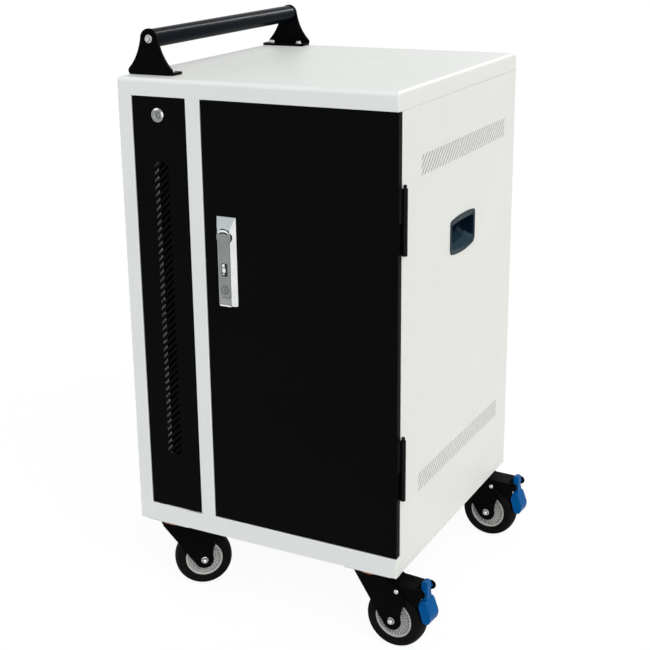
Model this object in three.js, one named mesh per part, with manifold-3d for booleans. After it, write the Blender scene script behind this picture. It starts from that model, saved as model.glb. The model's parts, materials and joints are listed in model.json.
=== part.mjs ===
// Laptop charging cart: a sheet-metal cabinet on four swivel casters, with a hinged door over the laptop bay,
// a narrow vented panel over the power bay, a swing-handle lock and a push handle on the top.
// Millimetres, +Z up, front towards -Y, floor at Z = 0.
import * as THREE from 'three';
import { mergeVertices } from 'three/addons/utils/BufferGeometryUtils.js';
import Module from 'manifold-3d';

// Cabinet
const WIDTH = 507;
const DEPTH = 517;
const HEIGHT = 800;
const SHEET = 1.5;
const SEAM = 0.3;
const FLOOR_CLEARANCE = 138.5;
const BASE_SKIRT = 16;
const TOP_SKIRT = 29.5;
const TOP_BEND = 3;
const BACK_FLANGE = 15;

// Front frame, door and narrow panel
const STILE = 25.8;
const PANEL_OPENING = 105;
const MULLION = 27.6;
const BOTTOM_RAIL = 34;
const PAN_DEPTH = 13;
const STOP_GAP = 2.8;
const STILE_STOP = 36.9;
const MULLION_STOP = 14;
const JAMB = 32;
const REVEAL = 1.6;
const PANEL_TAB = 14;
const PANEL_TAB_INSET = 12;

// Slanted vents
const SLOT = 3.5;
const SLOT_LEAST_AREA = 12;
const PANEL_SLOT_PITCH = 12.4;
const PANEL_VENT = { width: 28.4, height: 524, left: 39.5, bottom: 139 };
const SIDE_SLOT_PITCH = 12.2;
const SIDE_VENT = { length: 375, height: 33, front: 88 };
const SIDE_VENT_LOW = 120;
const SIDE_VENT_HIGH = 658;

// Cup handles in the sides
const CUP = { length: 106, height: 50, bottom: 504.5, arch: 6, bulge: 12, corner: 9 };
const CUP_MIDDLE = 267;
const CUP_RIM = 3;
const CUP_RIM_PROUD = 1.4;
const CUP_DEPTH = 32;
const CUP_WALL = 2;
const CUP_FIT = 0.4;

// Push handle
const HANDLE_AXIS_X = 45;
const HANDLE_AXIS_UP = 59;
const HANDLE_TUBE_R = 15.5;
const BRACKET_FOOT_WIDTH = 90;
const BRACKET_TOP_R = 17;
const BRACKET_CORNER = 8;
const BRACKET_FLARE_UP = 9;
const BRACKET_PLATE = 4;
const BRACKET_FOOT = 32;
const BRACKET_FRONT = 31.5;
const BRACKET_BACK = 3;

// Hinges
const HINGE_LOW = 136.8;
const HINGE_HIGH = 547.8;
const HINGE_HEIGHT = 105.5;
const HINGE_OUT = 4.7;
const HINGE_BARREL_R = 4.3;
const HINGE_PIN_R = 2.1;
const HINGE_HEAD_R = 2.8;
const HINGE_HEAD = 6;
const HINGE_FRAME_LEAF = 22;
const HINGE_DOOR_LEAF = 1.9;

// Swing-handle lock on the door, with its pivot as the place
const LOCK_X = 44;
const LOCK_PIVOT_Z = 550;
const LOCK_ABOVE = 32;
const LOCK_BELOW = 118;
const LOCK_WIDTH = 36;
const LOCK_FACE = 24;
const LOCK_PROUD = 11;
const LOCK_BASE_PROUD = 5;
const LOCK_ROOF = 19;
const LOCK_HEAD_R = 13.5;
const LOCK_HEAD_GAP = 1;
const LOCK_SPINDLE_R = 8;
const LEVER_FACE = 22;
const LEVER_DRAFT = 0.4;
const LEVER_END = 101;
const LEVER_END_R = 4;
const LEVER_HEAD_TOP = 10.5;
const LEVER_HEAD_BOW = 20;
const LEVER_HEEL = 4.5;
const LEVER_LUG = 8;
const LEVER_LUG_R = 2;
const LEVER_PIN_UP = 7;
const LEVER_WINDOW = { width: 11, height: 22, down: 55, depth: 2.5, corner: 2 };
const KEY_DOWN = 89;
const KEY_R = 6;
const KEY_DEPTH = 4.5;
const KEYWAY = { width: 1.4, length: 7, depth: 2 };
const BUTTON = { width: 19, height: 11, proud: 0.4 };
const BUTTON_LAND = 2;
const BUTTON_RIBS = 3;
const RUN = 0.4;
const TONGUE = { width: 18, reach: 46, tail: 13, thick: 3, corner: 3 };

// Cam lock of the narrow panel
const CAM_X = 52.2;
const CAM_Z = 740.5;
const CAM_FACE_R = 12;
const CAM_FACE = 2.4;
const CAM_BARREL_R = 9;
const CAM_PLUG_R = 5.5;
const CAM_TONGUE = { width: 14, reach: 31, tail: 8, thick: 2, corner: 3 };

// Inside: partition, shelf and divider racks
const SHELF_Z = 395;
const SHELF_SETBACK = 45;
const SHELF_LIP = 18;
const CABLE_PASS = { length: 70, height: 46, corner: 12, fromBack: 40 };
const CABLE_PASS_LEVELS = [110, 250, 500, 640];
const RACK_SLOTS = 8;
const RACK_SIDE_GAP = 3.8;
const RACK_FIN = 3;
const RACK_FOOT = 4;
const RACK_FIN_HEIGHT = 140;
const RACK_DEPTH = 360;
const RACK_SETBACK = 12;
const RACK_SLOPE = 60;

// Power bay: socket strips, charge controller, mains inlet and its switch
const STRIP = { depth: 34, width: 46, length: 300, front: 190, sockets: 5 };
const STRIP_LOW = 55;
const STRIP_HIGH = 440;
const SOCKET_R = 17;
const SOCKET_DEPTH = 3;
const CONTROLLER = { depth: 42, width: 120, length: 150, front: 270, bottom: 515 };
const CONTROLLER_CORNER = 5;
const CONTROLLER_VENTS = 6;
const CONTROLLER_VENT = { width: 4, length: 70, depth: 3 };
const INLET = { width: 62, height: 32, flange: 2.5, body: 28, margin: 4, corner: 3 };
const INLET_X = 76;
const INLET_Z = 72;
const INLET_SOCKET = { width: 24, height: 17, depth: 18 };
const ROCKER = { width: 13, height: 18, thick: 9, proud: 0.3, hollow: 1.2, tilt: 8 };

// Casters
const CASTER_INSET_X = 55;
const CASTER_INSET_Y = 35;
const CASTER_TRAIL = 44;
const WHEEL_R = 52.5;
const WHEEL_WIDTH = 35;
const TYRE_SHOULDER = 5;
const TYRE_EDGE = 1;
const HUB_R = 34;
const HUB_BOSS_R = 11;
const HUB_RIM = 4;
const HUB_RIM_SINK = 2;
const HUB_DISH = 5;
const HUB_RIBS = 6;
const HUB_RIB = 2.2;
const AXLE_R = 4;
const AXLE_NUT_R = 7;
const AXLE_NUT = 5;
const CASTER_PLATE = { length: 92, width: 64, thick: 3, corner: 5 };
const RACE_R = 28;
const RACE = 5;
const KINGPIN_R = 6;
const KINGPIN_NUT_R = 10;
const KINGPIN_NUT = 5;
const CROWN_R = 30;
const CROWN = 6;
const FORK_LEG = 3;
const FORK_SIDE_GAP = 2.2;
const FORK_EYE_R = 17;
const FORK_WAIST = 4;
const FORK_SPREAD = 8;
const FORK_SHOULDER = { up: 34, bow: 53.4, top: 63.4, back: 12 };
const FORK_WEB = { front: 15, back: 26 };
const FORK_EDGE = 2;
const BRAKE_ARM = { lap: 0.8, top: 122.5, wall: 2.4, from: 34, to: 86, drop: 14 };
const BRAKE_SKIRT = { from: 66, drop: 24, front: 13, back: 4 };
const PEDAL_PIVOT = { along: 97, up: 116.5, r: 3 };
const PEDAL_EAR_R = 8;
const PEDAL_TAB = { half: 7, front: 5, back: 6, top: 17, drop: 11, round: 4 };
const PEDAL_NECK = { half: 8, front: 4, back: 6, drop: 18, lap: 6 };
const PEDAL_LOBE = { half: 15, top: 15, bottom: 57, front: 7, back: 17, bulge: 42, heel: 26, toe: 4, round: 5 };
const CASTER_ANGLES = { front_left: 38, front_right: -4.5, rear_right: -2.5, rear_left: 10 };

// Places that follow from the sizes above, in the cabinet's own frame: X from its left side, Y from its front
// plane and Z from its underside.
const MULLION_LEFT = STILE + PANEL_OPENING;
const MULLION_RIGHT = MULLION_LEFT + MULLION;
const STOP = PAN_DEPTH + STOP_GAP;
const STOP_BACK = STOP + SHEET;
const SIDE_BOTTOM = BASE_SKIRT + SEAM;
const SIDE_TOP = HEIGHT - TOP_SKIRT - SEAM;
const OPENING_TOP = HEIGHT - TOP_SKIRT;
const INSIDE_BACK = DEPTH - 2 * SHEET - 2 * SEAM;
const PARTITION_LEFT = MULLION_LEFT + (MULLION - SHEET) / 2;
const PARTITION_RIGHT = PARTITION_LEFT + SHEET;
const HINGE_X = WIDTH + HINGE_OUT;
const HINGE_Y = PAN_DEPTH + STOP_GAP / 2;
const DOOR_LEFT = MULLION_RIGHT + REVEAL;
const TONGUE_FRONT = STOP_BACK + 2 * SEAM;
const LOCK_PLACE = new THREE.Vector3(MULLION_RIGHT + LOCK_X, 0, LOCK_PIVOT_Z);
const CAM_PLACE = new THREE.Vector3(STILE + CAM_X, 0, CAM_Z);

// Finishes
const finish = (color, roughness, metalness = 0) => new THREE.MeshStandardMaterial({ color, roughness, metalness });
const WHITE_PAINT = finish(0xe6e6e4, 0.45);
const BLACK_PAINT = finish(0x101011, 0.5);
const BLACK_STEEL = finish(0x151517, 0.4, 0.3);
const SATIN_SILVER = finish(0xb9bbbe, 0.35, 0.9);
const ZINC = finish(0xa9acaf, 0.35, 0.9);
const SLATE_PLASTIC = finish(0x1d2a35, 0.5);
const GREY_PLASTIC = finish(0x8e9092, 0.55);
const DARK_PLASTIC = finish(0x222326, 0.55);
const RUBBER = finish(0x161616, 0.8);
const BLUE_PLASTIC = finish(0x075fb0, 0.45);

const wasm = await Module();
wasm.setup();

// A closed geometry as a solid that can be joined and cut.
function solid(geometry) {
  geometry.deleteAttribute('normal');
  geometry.deleteAttribute('uv');
  const merged = mergeVertices(geometry, 1e-4);
  return new wasm.Manifold(new wasm.Mesh({
    numProp: 3,
    vertProperties: new Float32Array(merged.attributes.position.array),
    triVerts: new Uint32Array(merged.index.array),
  }));
}

function toGeometry(body) {
  const mesh = body.getMesh();
  const geometry = new THREE.BufferGeometry();
  const points = new Float32Array(mesh.numVert * 3);
  for (let i = 0; i < mesh.numVert; i += 1) {
    points.set(mesh.vertProperties.slice(i * mesh.numProp, i * mesh.numProp + 3), i * 3);
  }
  geometry.setAttribute('position', new THREE.BufferAttribute(points, 3));
  geometry.setIndex(new THREE.BufferAttribute(new Uint32Array(mesh.triVerts), 1));
  geometry.computeVertexNormals();
  return geometry;
}

function box(x0, x1, y0, y1, z0, z1) {
  const geometry = new THREE.BoxGeometry(x1 - x0, y1 - y0, z1 - z0);
  return solid(geometry.translate((x0 + x1) / 2, (y0 + y1) / 2, (z0 + z1) / 2));
}

const join = (first, ...rest) => rest.reduce((sum, next) => sum.add(next), first);
const cut = (first, ...rest) => rest.reduce((left, next) => left.subtract(next), first);

// Extrusions of a flat outline: (y, z) drawn along X, (x, z) drawn along Y, (x, y) drawn along Z.
const ALONG_X = new THREE.Matrix4().set(0, 0, 1, 0, 1, 0, 0, 0, 0, 1, 0, 0, 0, 0, 0, 1);
const ALONG_Y = new THREE.Matrix4().set(1, 0, 0, 0, 0, 0, -1, 0, 0, 1, 0, 0, 0, 0, 0, 1);

function drawn(outline, depth, curveSegments) {
  return new THREE.ExtrudeGeometry(outline, { depth, bevelEnabled: false, curveSegments });
}

function alongX(outline, x0, x1, curveSegments = 6) {
  return solid(drawn(outline, x1 - x0, curveSegments).applyMatrix4(ALONG_X).translate(x0, 0, 0));
}

function alongY(outline, y0, y1, curveSegments = 6) {
  return solid(drawn(outline, y1 - y0, curveSegments).applyMatrix4(ALONG_Y).translate(0, y1, 0));
}

function alongZ(outline, z0, z1, curveSegments = 6) {
  return solid(drawn(outline, z1 - z0, curveSegments).translate(0, 0, z0));
}

// Round bars: along Y about (x, z), and along Z about (x, y).
function barY(x, z, r, y0, y1, sides = 24) {
  const geometry = new THREE.CylinderGeometry(r, r, y1 - y0, sides);
  return solid(geometry.translate(x, (y0 + y1) / 2, z));
}

function barZ(x, y, r, z0, z1, sides = 24) {
  const geometry = new THREE.CylinderGeometry(r, r, z1 - z0, sides).rotateX(Math.PI / 2);
  return solid(geometry.translate(x, y, (z0 + z1) / 2));
}

function polygon(...points) {
  return new THREE.Shape(points.map(([u, v]) => new THREE.Vector2(u, v)));
}

function rectangle(u0, u1, v0, v1) {
  return polygon([u0, v0], [u1, v0], [u1, v1], [u0, v1]);
}

function roundedRectangle(u0, u1, v0, v1, r) {
  const shape = new THREE.Shape();
  shape.absarc(u1 - r, v0 + r, r, -Math.PI / 2, 0);
  shape.absarc(u1 - r, v1 - r, r, 0, Math.PI / 2);
  shape.absarc(u0 + r, v1 - r, r, Math.PI / 2, Math.PI);
  shape.absarc(u0 + r, v0 + r, r, Math.PI, 1.5 * Math.PI);
  shape.closePath();
  return shape;
}

// Keeps the part of a polygon on the side of u = limit that sign gives.
function clipAcross(points, limit, sign) {
  const kept = [];
  points.forEach(([u, v], i) => {
    const [nextU, nextV] = points[(i + 1) % points.length];
    const inside = sign * (u - limit) >= 0;
    if (inside) kept.push([u, v]);
    if (inside !== (sign * (nextU - limit) >= 0)) {
      const share = (limit - u) / (nextU - u);
      kept.push([limit, v + share * (nextV - v)]);
    }
  });
  return kept;
}

// Slots that rise at 45 degrees, cut off by the edges of a rectangle.
function slantedSlots(u0, u1, v0, v1, pitch) {
  const half = SLOT / Math.SQRT2;
  const holes = [];
  const count = Math.floor((u1 - u0 + v1 - v0) / pitch);
  const first = u0 - v1 + ((u1 - u0 + v1 - v0) - (count - 1) * pitch) / 2;
  for (let i = 0; i < count; i += 1) {
    const middle = first + i * pitch;
    const band = [[v0, -half], [v0, half], [v1, half], [v1, -half]].map(([v, side]) => [v + middle + side, v]);
    const slot = clipAcross(clipAcross(band, u0, 1), u1, -1);
    const area = slot.length > 2 ? Math.abs(THREE.ShapeUtils.area(polygon(...slot).getPoints())) : 0;
    if (area > SLOT_LEAST_AREA) holes.push(polygon(...slot));
  }
  return holes;
}

const cart = new THREE.Group();
const cabinet = new THREE.Group();
cabinet.position.set(-WIDTH / 2, -DEPTH / 2, FLOOR_CLEARANCE);
cart.add(cabinet);

function place(parent, name, body, material) {
  const mesh = new THREE.Mesh(toGeometry(body), material);
  mesh.name = name;
  parent.add(mesh);
}

function basePan() {
  const inner = SHEET + SEAM;
  return join(
    box(0, WIDTH, STOP, DEPTH, 0, SHEET),
    box(inner, WIDTH - inner, inner, STOP + SHEET, 0, SHEET),
    box(0, SHEET, STOP, DEPTH, 0, BASE_SKIRT),
    box(WIDTH - SHEET, WIDTH, STOP, DEPTH, 0, BASE_SKIRT),
    box(0, WIDTH, DEPTH - SHEET, DEPTH, 0, BASE_SKIRT),
  );
}

// Stile, mullion and bottom rail as folded channels, with stop flanges behind the door and the narrow panel.
function frontFrame() {
  const face = polygon(
    [0, 0], [WIDTH, 0], [WIDTH, BOTTOM_RAIL], [MULLION_RIGHT, BOTTOM_RAIL], [MULLION_RIGHT, SIDE_TOP],
    [MULLION_LEFT, SIDE_TOP], [MULLION_LEFT, BOTTOM_RAIL], [STILE, BOTTOM_RAIL], [STILE, SIDE_TOP], [0, SIDE_TOP],
  );
  const railEnd = SHEET + SEAM;
  const upright = (x0, x1, y0, y1) => box(x0, x1, y0, y1, BOTTOM_RAIL - SHEET, SIDE_TOP);
  return join(
    alongY(face, 0, SHEET),
    box(0, SHEET, 0, STOP - SEAM, 0, SIDE_TOP),
    box(WIDTH - SHEET, WIDTH, 0, STOP - SEAM, 0, BOTTOM_RAIL),
    box(railEnd, WIDTH - railEnd, 0, STOP_BACK, BOTTOM_RAIL - SHEET, BOTTOM_RAIL),
    box(SHEET, WIDTH - SHEET, 0, STOP - SEAM, BOTTOM_RAIL - SHEET, BOTTOM_RAIL),
    box(railEnd, WIDTH - railEnd, STOP, STOP_BACK, SHEET + SEAM, BOTTOM_RAIL),
    upright(STILE - SHEET, STILE, 0, STOP_BACK),
    upright(STILE - SHEET, STILE + STILE_STOP, STOP, STOP_BACK),
    upright(MULLION_LEFT, MULLION_LEFT + SHEET, 0, STOP_BACK),
    upright(MULLION_LEFT - MULLION_STOP, MULLION_LEFT + SHEET, STOP, STOP_BACK),
    upright(MULLION_RIGHT - SHEET, MULLION_RIGHT, 0, STOP_BACK),
    upright(MULLION_RIGHT - SHEET, MULLION_RIGHT + MULLION_STOP, STOP, STOP_BACK),
  );
}

// Mouth of a cup handle: an arched top, a fuller bottom and rounded corners.
function cupOutline(inset) {
  const half = CUP.length / 2 - inset;
  const low = CUP.bottom + inset;
  const high = CUP.bottom + CUP.height - inset;
  const r = CUP.corner;
  const shape = new THREE.Shape();
  shape.moveTo(CUP_MIDDLE - half, low + r);
  shape.quadraticCurveTo(CUP_MIDDLE - half, low - CUP.bulge / 4, CUP_MIDDLE - half + r, low - CUP.bulge / 3);
  shape.quadraticCurveTo(CUP_MIDDLE, low - CUP.bulge, CUP_MIDDLE + half - r, low - CUP.bulge / 3);
  shape.quadraticCurveTo(CUP_MIDDLE + half, low - CUP.bulge / 4, CUP_MIDDLE + half, low + r);
  shape.lineTo(CUP_MIDDLE + half, high - r);
  shape.quadraticCurveTo(CUP_MIDDLE + half, high, CUP_MIDDLE + half - r, high);
  shape.quadraticCurveTo(CUP_MIDDLE, high + CUP.arch, CUP_MIDDLE - half + r, high);
  shape.quadraticCurveTo(CUP_MIDDLE - half, high, CUP_MIDDLE - half, high - r);
  shape.closePath();
  return shape;
}

function sideSheet(left) {
  const through = (outline) => alongX(outline, left - SHEET, left + 2 * SHEET, 3);
  const ventBack = SIDE_VENT.front + SIDE_VENT.length;
  const vents = [SIDE_VENT_LOW, SIDE_VENT_HIGH].flatMap((low) => (
    slantedSlots(SIDE_VENT.front, ventBack, low, low + SIDE_VENT.height, SIDE_SLOT_PITCH)
  ));
  const sheet = box(left, left + SHEET, STOP, DEPTH, SIDE_BOTTOM, SIDE_TOP);
  return cut(sheet, through(cupOutline(0)), ...vents.map(through));
}

function leftSidePanel() {
  const back = DEPTH - SHEET - SEAM;
  return join(sideSheet(0), box(0, SHEET + BACK_FLANGE, back - SHEET, back, SIDE_BOTTOM, SIDE_TOP));
}

function rightSidePanel() {
  const back = DEPTH - SHEET - SEAM;
  return join(
    sideSheet(WIDTH - SHEET),
    box(WIDTH - SHEET - BACK_FLANGE, WIDTH, back - SHEET, back, SIDE_BOTTOM, SIDE_TOP),
    box(WIDTH - JAMB, WIDTH, STOP, STOP_BACK, BOTTOM_RAIL + SEAM, SIDE_TOP),
  );
}

function backPanel() {
  const inner = SHEET + SEAM;
  const sheet = rectangle(inner, WIDTH - inner, SIDE_BOTTOM, SIDE_TOP);
  const half = INLET.width / 2 - INLET.margin;
  const tall = INLET.height / 2 - INLET.margin;
  sheet.holes.push(rectangle(INLET_X - half, INLET_X + half, INLET_Z - tall, INLET_Z + tall));
  return alongY(sheet, DEPTH - SHEET, DEPTH);
}

// Inverted tray: folded edges round the top, a skirt on every side and a return under the front skirt.
function topCover() {
  const bend = TOP_BEND;
  const plan = rectangle(bend, WIDTH - bend, bend, DEPTH - bend);
  const rounded = new THREE.ExtrudeGeometry(plan, {
    depth: 2 * TOP_SKIRT,
    bevelEnabled: true,
    bevelSize: bend,
    bevelThickness: bend,
    bevelSegments: 3,
  });
  const outside = solid(rounded.translate(0, 0, HEIGHT - bend - 2 * TOP_SKIRT));
  return join(
    cut(
      outside,
      box(-1, WIDTH + 1, -1, DEPTH + 1, HEIGHT - 4 * TOP_SKIRT, OPENING_TOP),
      box(SHEET, WIDTH - SHEET, SHEET, DEPTH - SHEET, HEIGHT - 4 * TOP_SKIRT, HEIGHT - SHEET),
    ),
    box(0, WIDTH, 0, STOP - SEAM, OPENING_TOP, OPENING_TOP + SHEET),
  );
}

// Wall between the power bay and the laptop bay, notched round the front rails, with passes for the leads.
function partitionWall() {
  const front = SHEET + SEAM;
  const low = SHEET + SEAM;
  const wall = polygon(
    [front, BOTTOM_RAIL + SEAM], [STOP_BACK + SEAM, BOTTOM_RAIL + SEAM], [STOP_BACK + SEAM, low],
    [INSIDE_BACK, low], [INSIDE_BACK, HEIGHT - SHEET - SEAM], [STOP_BACK + SEAM, HEIGHT - SHEET - SEAM],
    [STOP_BACK + SEAM, SIDE_TOP], [front, SIDE_TOP],
  );
  const back = INSIDE_BACK - CABLE_PASS.fromBack;
  for (const level of CABLE_PASS_LEVELS) {
    const top = level + CABLE_PASS.height;
    wall.holes.push(roundedRectangle(back - CABLE_PASS.length, back, level, top, CABLE_PASS.corner));
  }
  return alongX(wall, PARTITION_LEFT, PARTITION_RIGHT, 1);
}

const BAY_LEFT = PARTITION_RIGHT + SEAM;
const BAY_RIGHT = WIDTH - SHEET - SEAM;

function middleShelf() {
  return join(
    box(BAY_LEFT, BAY_RIGHT, SHELF_SETBACK, INSIDE_BACK, SHELF_Z, SHELF_Z + SHEET),
    box(BAY_LEFT, BAY_RIGHT, SHELF_SETBACK, SHELF_SETBACK + SHEET, SHELF_Z - SHELF_LIP, SHELF_Z + SHEET),
    box(BAY_LEFT, BAY_RIGHT, INSIDE_BACK - SHEET, INSIDE_BACK, SHELF_Z - SHELF_LIP, SHELF_Z + SHEET),
  );
}

// Rack of upright fins on a foot that fills the door opening, with the front of every fin sloped back.
function dividerRack(seat) {
  const left = MULLION_RIGHT + MULLION_STOP + RACK_SIDE_GAP;
  const right = WIDTH - Math.max(JAMB, CUP_DEPTH) - RACK_SIDE_GAP;
  const pitch = (right - left - RACK_FIN) / RACK_SLOTS;
  const low = seat + SEAM;
  const high = low + RACK_FOOT + RACK_FIN_HEIGHT;
  const front = SHELF_SETBACK + RACK_SETBACK;
  const comb = [[left, low], [right, low]];
  for (let i = RACK_SLOTS; i >= 0; i -= 1) {
    const fin = left + i * pitch;
    comb.push([fin + RACK_FIN, high], [fin, high]);
    if (i > 0) comb.push([fin, low + RACK_FOOT], [fin - pitch + RACK_FIN, low + RACK_FOOT]);
  }
  const slope = polygon([front - 1, low + RACK_FOOT], [front + RACK_SLOPE, high + 1], [front - 1, high + 1]);
  return cut(alongY(polygon(...comb), front, front + RACK_DEPTH), alongX(slope, left - 1, right + 1));
}

// Cup handle: a rim on the outside of the sheet and a closed cup behind it. Its outside faces +X or -X.
function cupHandle(outward, faceX) {
  const span = (from, to) => [faceX + outward * from, faceX + outward * to].sort((a, b) => a - b);
  const slab = (inset, from, to) => alongX(cupOutline(inset), ...span(from, to), 3);
  const rimBack = SEAM;
  const rimFront = SEAM + CUP_RIM_PROUD;
  return cut(
    join(slab(-CUP_RIM, rimBack, rimFront), slab(CUP_FIT, -CUP_DEPTH, rimFront)),
    slab(CUP_FIT + CUP_WALL, CUP_WALL - CUP_DEPTH, rimFront + 1),
  );
}

const HANDLE_Z = HEIGHT + HANDLE_AXIS_UP;
const REAR_BRACKET = DEPTH - BRACKET_BACK;

function handleTube() {
  const front = BRACKET_FRONT + BRACKET_PLATE + SEAM;
  const back = REAR_BRACKET - BRACKET_PLATE - SEAM;
  return barY(HANDLE_AXIS_X, HANDLE_Z, HANDLE_TUBE_R, front, back, 32);
}

// Bracket plate with a round head and sides that flare out to the foot, which is folded back under the tube.
function handleBracket(face, inward) {
  const half = BRACKET_FOOT_WIDTH / 2;
  const low = HEIGHT + SEAM;
  const x = HANDLE_AXIS_X;
  const plate = new THREE.Shape();
  plate.moveTo(x - half + BRACKET_CORNER / 2, low);
  plate.lineTo(x + half - BRACKET_CORNER / 2, low);
  plate.quadraticCurveTo(x + half, low + BRACKET_CORNER / 2, x + half - BRACKET_CORNER / 4, low + BRACKET_FLARE_UP);
  plate.quadraticCurveTo(x + half / 2, (low + HANDLE_Z) / 2, x + BRACKET_TOP_R, HANDLE_Z);
  plate.absarc(x, HANDLE_Z, BRACKET_TOP_R, 0, Math.PI);
  plate.quadraticCurveTo(x - half / 2, (low + HANDLE_Z) / 2, x - half + BRACKET_CORNER / 4, low + BRACKET_FLARE_UP);
  plate.quadraticCurveTo(x - half, low + BRACKET_CORNER / 2, x - half + BRACKET_CORNER / 2, low);
  const [y0, y1] = [face, face + inward * BRACKET_PLATE].sort((a, b) => a - b);
  const [f0, f1] = [face, face + inward * BRACKET_FOOT].sort((a, b) => a - b);
  const foot = roundedRectangle(x - half + 1, x + half - 1, f0, f1, BRACKET_PLATE);
  return join(alongY(plate, y0, y1, 5), alongZ(foot, low, low + BRACKET_PLATE, 2));
}

// Lift-off hinge: the frame leaf carries the lower knuckle, the door leaf the upper one, with a pin through both.
const HINGE_BORE_R = HINGE_PIN_R + SEAM;

function hingeFrameLeaf(low) {
  const middle = low + HINGE_HEIGHT / 2 - SEAM / 2;
  return cut(
    join(
      box(HINGE_X - HINGE_OUT - HINGE_FRAME_LEAF, HINGE_X, PAN_DEPTH + SEAM, STOP - SEAM, low, middle),
      barZ(HINGE_X, HINGE_Y, HINGE_BARREL_R, low, middle, 14),
    ),
    barZ(HINGE_X, HINGE_Y, HINGE_BORE_R, low - 1, middle + 1, 10),
  );
}

function hingeDoorLeaf(low) {
  const middle = low + HINGE_HEIGHT / 2 + SEAM / 2;
  const high = low + HINGE_HEIGHT;
  const leaf = WIDTH + SEAM;
  return cut(
    join(
      box(leaf, leaf + HINGE_DOOR_LEAF, SHEET, HINGE_Y, middle, high),
      barZ(HINGE_X, HINGE_Y, HINGE_BARREL_R, middle, high, 14),
    ),
    barZ(HINGE_X, HINGE_Y, HINGE_BORE_R, middle - 1, high + 1, 10),
  );
}

function hingePin(low) {
  const high = low + HINGE_HEIGHT + SEAM;
  return join(
    barZ(HINGE_X, HINGE_Y, HINGE_PIN_R, low, high + HINGE_HEAD, 10),
    barZ(HINGE_X, HINGE_Y, HINGE_HEAD_R, high, high + HINGE_HEAD, 10),
  );
}

// Folded pan with its back open, between two side edges of the front.
function pan(x0, x1) {
  const low = BOTTOM_RAIL + REVEAL;
  const high = OPENING_TOP - REVEAL;
  return cut(
    box(x0, x1, 0, PAN_DEPTH, low, high),
    box(x0 + SHEET, x1 - SHEET, SHEET, PAN_DEPTH + 1, low + SHEET, high - SHEET),
  );
}

const SPINDLE_BORE_R = LOCK_SPINDLE_R + RUN;

function doorPanel() {
  const { x, z } = LOCK_PLACE;
  const half = BUTTON.width / 2 + RUN;
  return cut(
    pan(DOOR_LEFT, WIDTH),
    barY(x, z, SPINDLE_BORE_R, -1, SHEET + 1),
    box(x - half, x + half, -1, SHEET + 1, BUTTON_LOW - RUN, BUTTON_LOW + BUTTON.height + RUN),
  );
}

// Sections of the lock, drafted from the door towards the face.
function drafted(back, backWidth, front, frontWidth) {
  const { x } = LOCK_PLACE;
  const [b, f] = [backWidth / 2, frontWidth / 2];
  return polygon([x - b, back], [x - f, front], [x + f, front], [x + b, back]);
}

const LOCK_POCKET_R = LOCK_HEAD_R + LOCK_HEAD_GAP;
const LEVER_HALF = LEVER_FACE / 2 + LEVER_DRAFT;
const BUTTON_LOW = LOCK_PIVOT_Z - LOCK_BELOW + BUTTON_LAND + RUN;
const SHOE_TOP = BUTTON_LOW + BUTTON.height + BUTTON_LAND + RUN;

// Lock body on the door: a drafted block with a channel for the lever, open on the side that the lever turns to, a
// round pocket for the lever's head under the roof, and a shoe for the push button at the foot.
function lockBase() {
  const { x, z } = LOCK_PLACE;
  const top = z + LOCK_ABOVE;
  const bottom = z - LOCK_BELOW;
  const outside = -2 * LOCK_PROUD;
  const full = drafted(-SEAM, LOCK_WIDTH, -LOCK_PROUD, LOCK_FACE);
  const roofCut = polygon(
    [-SEAM - 1, top], [-LOCK_PROUD, top - LOCK_ROOF], [outside, top - LOCK_ROOF], [outside, top + 1],
    [-SEAM - 1, top + 1],
  );
  const footCut = polygon(
    [-LOCK_BASE_PROUD, bottom - 1], [-LOCK_BASE_PROUD, bottom], [-LOCK_PROUD, bottom + BUTTON_LAND],
    [outside, bottom + BUTTON_LAND], [outside, bottom - 1],
  );
  const half = BUTTON.width / 2 + RUN;
  return cut(
    alongZ(full, bottom, top),
    box(x - LOCK_WIDTH, x + LEVER_HALF + RUN, outside, -LOCK_BASE_PROUD, SHOE_TOP, z),
    barY(x, z, LOCK_POCKET_R, outside, -LOCK_BASE_PROUD, 28),
    box(x - LOCK_WIDTH, x, outside, -LOCK_BASE_PROUD, z - 1, z + LOCK_POCKET_R),
    barY(x, z, SPINDLE_BORE_R, -LOCK_PROUD, 1),
    alongX(roofCut, x - LOCK_WIDTH, x + LOCK_WIDTH),
    alongX(footCut, x - LOCK_WIDTH, x + LOCK_WIDTH),
    box(x - half, x + half, outside, 1, BUTTON_LOW - RUN, BUTTON_LOW + BUTTON.height + RUN),
  );
}

const LEVER_BACK = -LOCK_BASE_PROUD - SEAM;
const LEVER_PIN_Y = LEVER_BACK - LEVER_LUG_R;
const LEVER_PIN_Z = LOCK_PIVOT_Z + LEVER_PIN_UP;
const LUG_LOW = LOCK_PIVOT_Z - LEVER_LUG / 2;

// Spindle through the door with a lug in front, which holds the lever's head and lets the lever lift.
function lockSpindle() {
  const { x, z } = LOCK_PLACE;
  const root = -LOCK_BASE_PROUD + RUN;
  const lug = new THREE.Shape();
  lug.moveTo(root, LUG_LOW);
  lug.lineTo(LEVER_PIN_Y - LEVER_LUG_R, LUG_LOW);
  lug.lineTo(LEVER_PIN_Y - LEVER_LUG_R, LEVER_PIN_Z);
  lug.absarc(LEVER_PIN_Y, LEVER_PIN_Z, LEVER_LUG_R, Math.PI, 0, true);
  lug.lineTo(root, z + LEVER_LUG / 2);
  lug.closePath();
  return join(
    barY(x, z, LOCK_SPINDLE_R, -LOCK_BASE_PROUD, TONGUE_FRONT + TONGUE.thick + SEAM, 14),
    alongX(lug, x - LEVER_LUG / 2, x + LEVER_LUG / 2, 4),
  );
}

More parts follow.
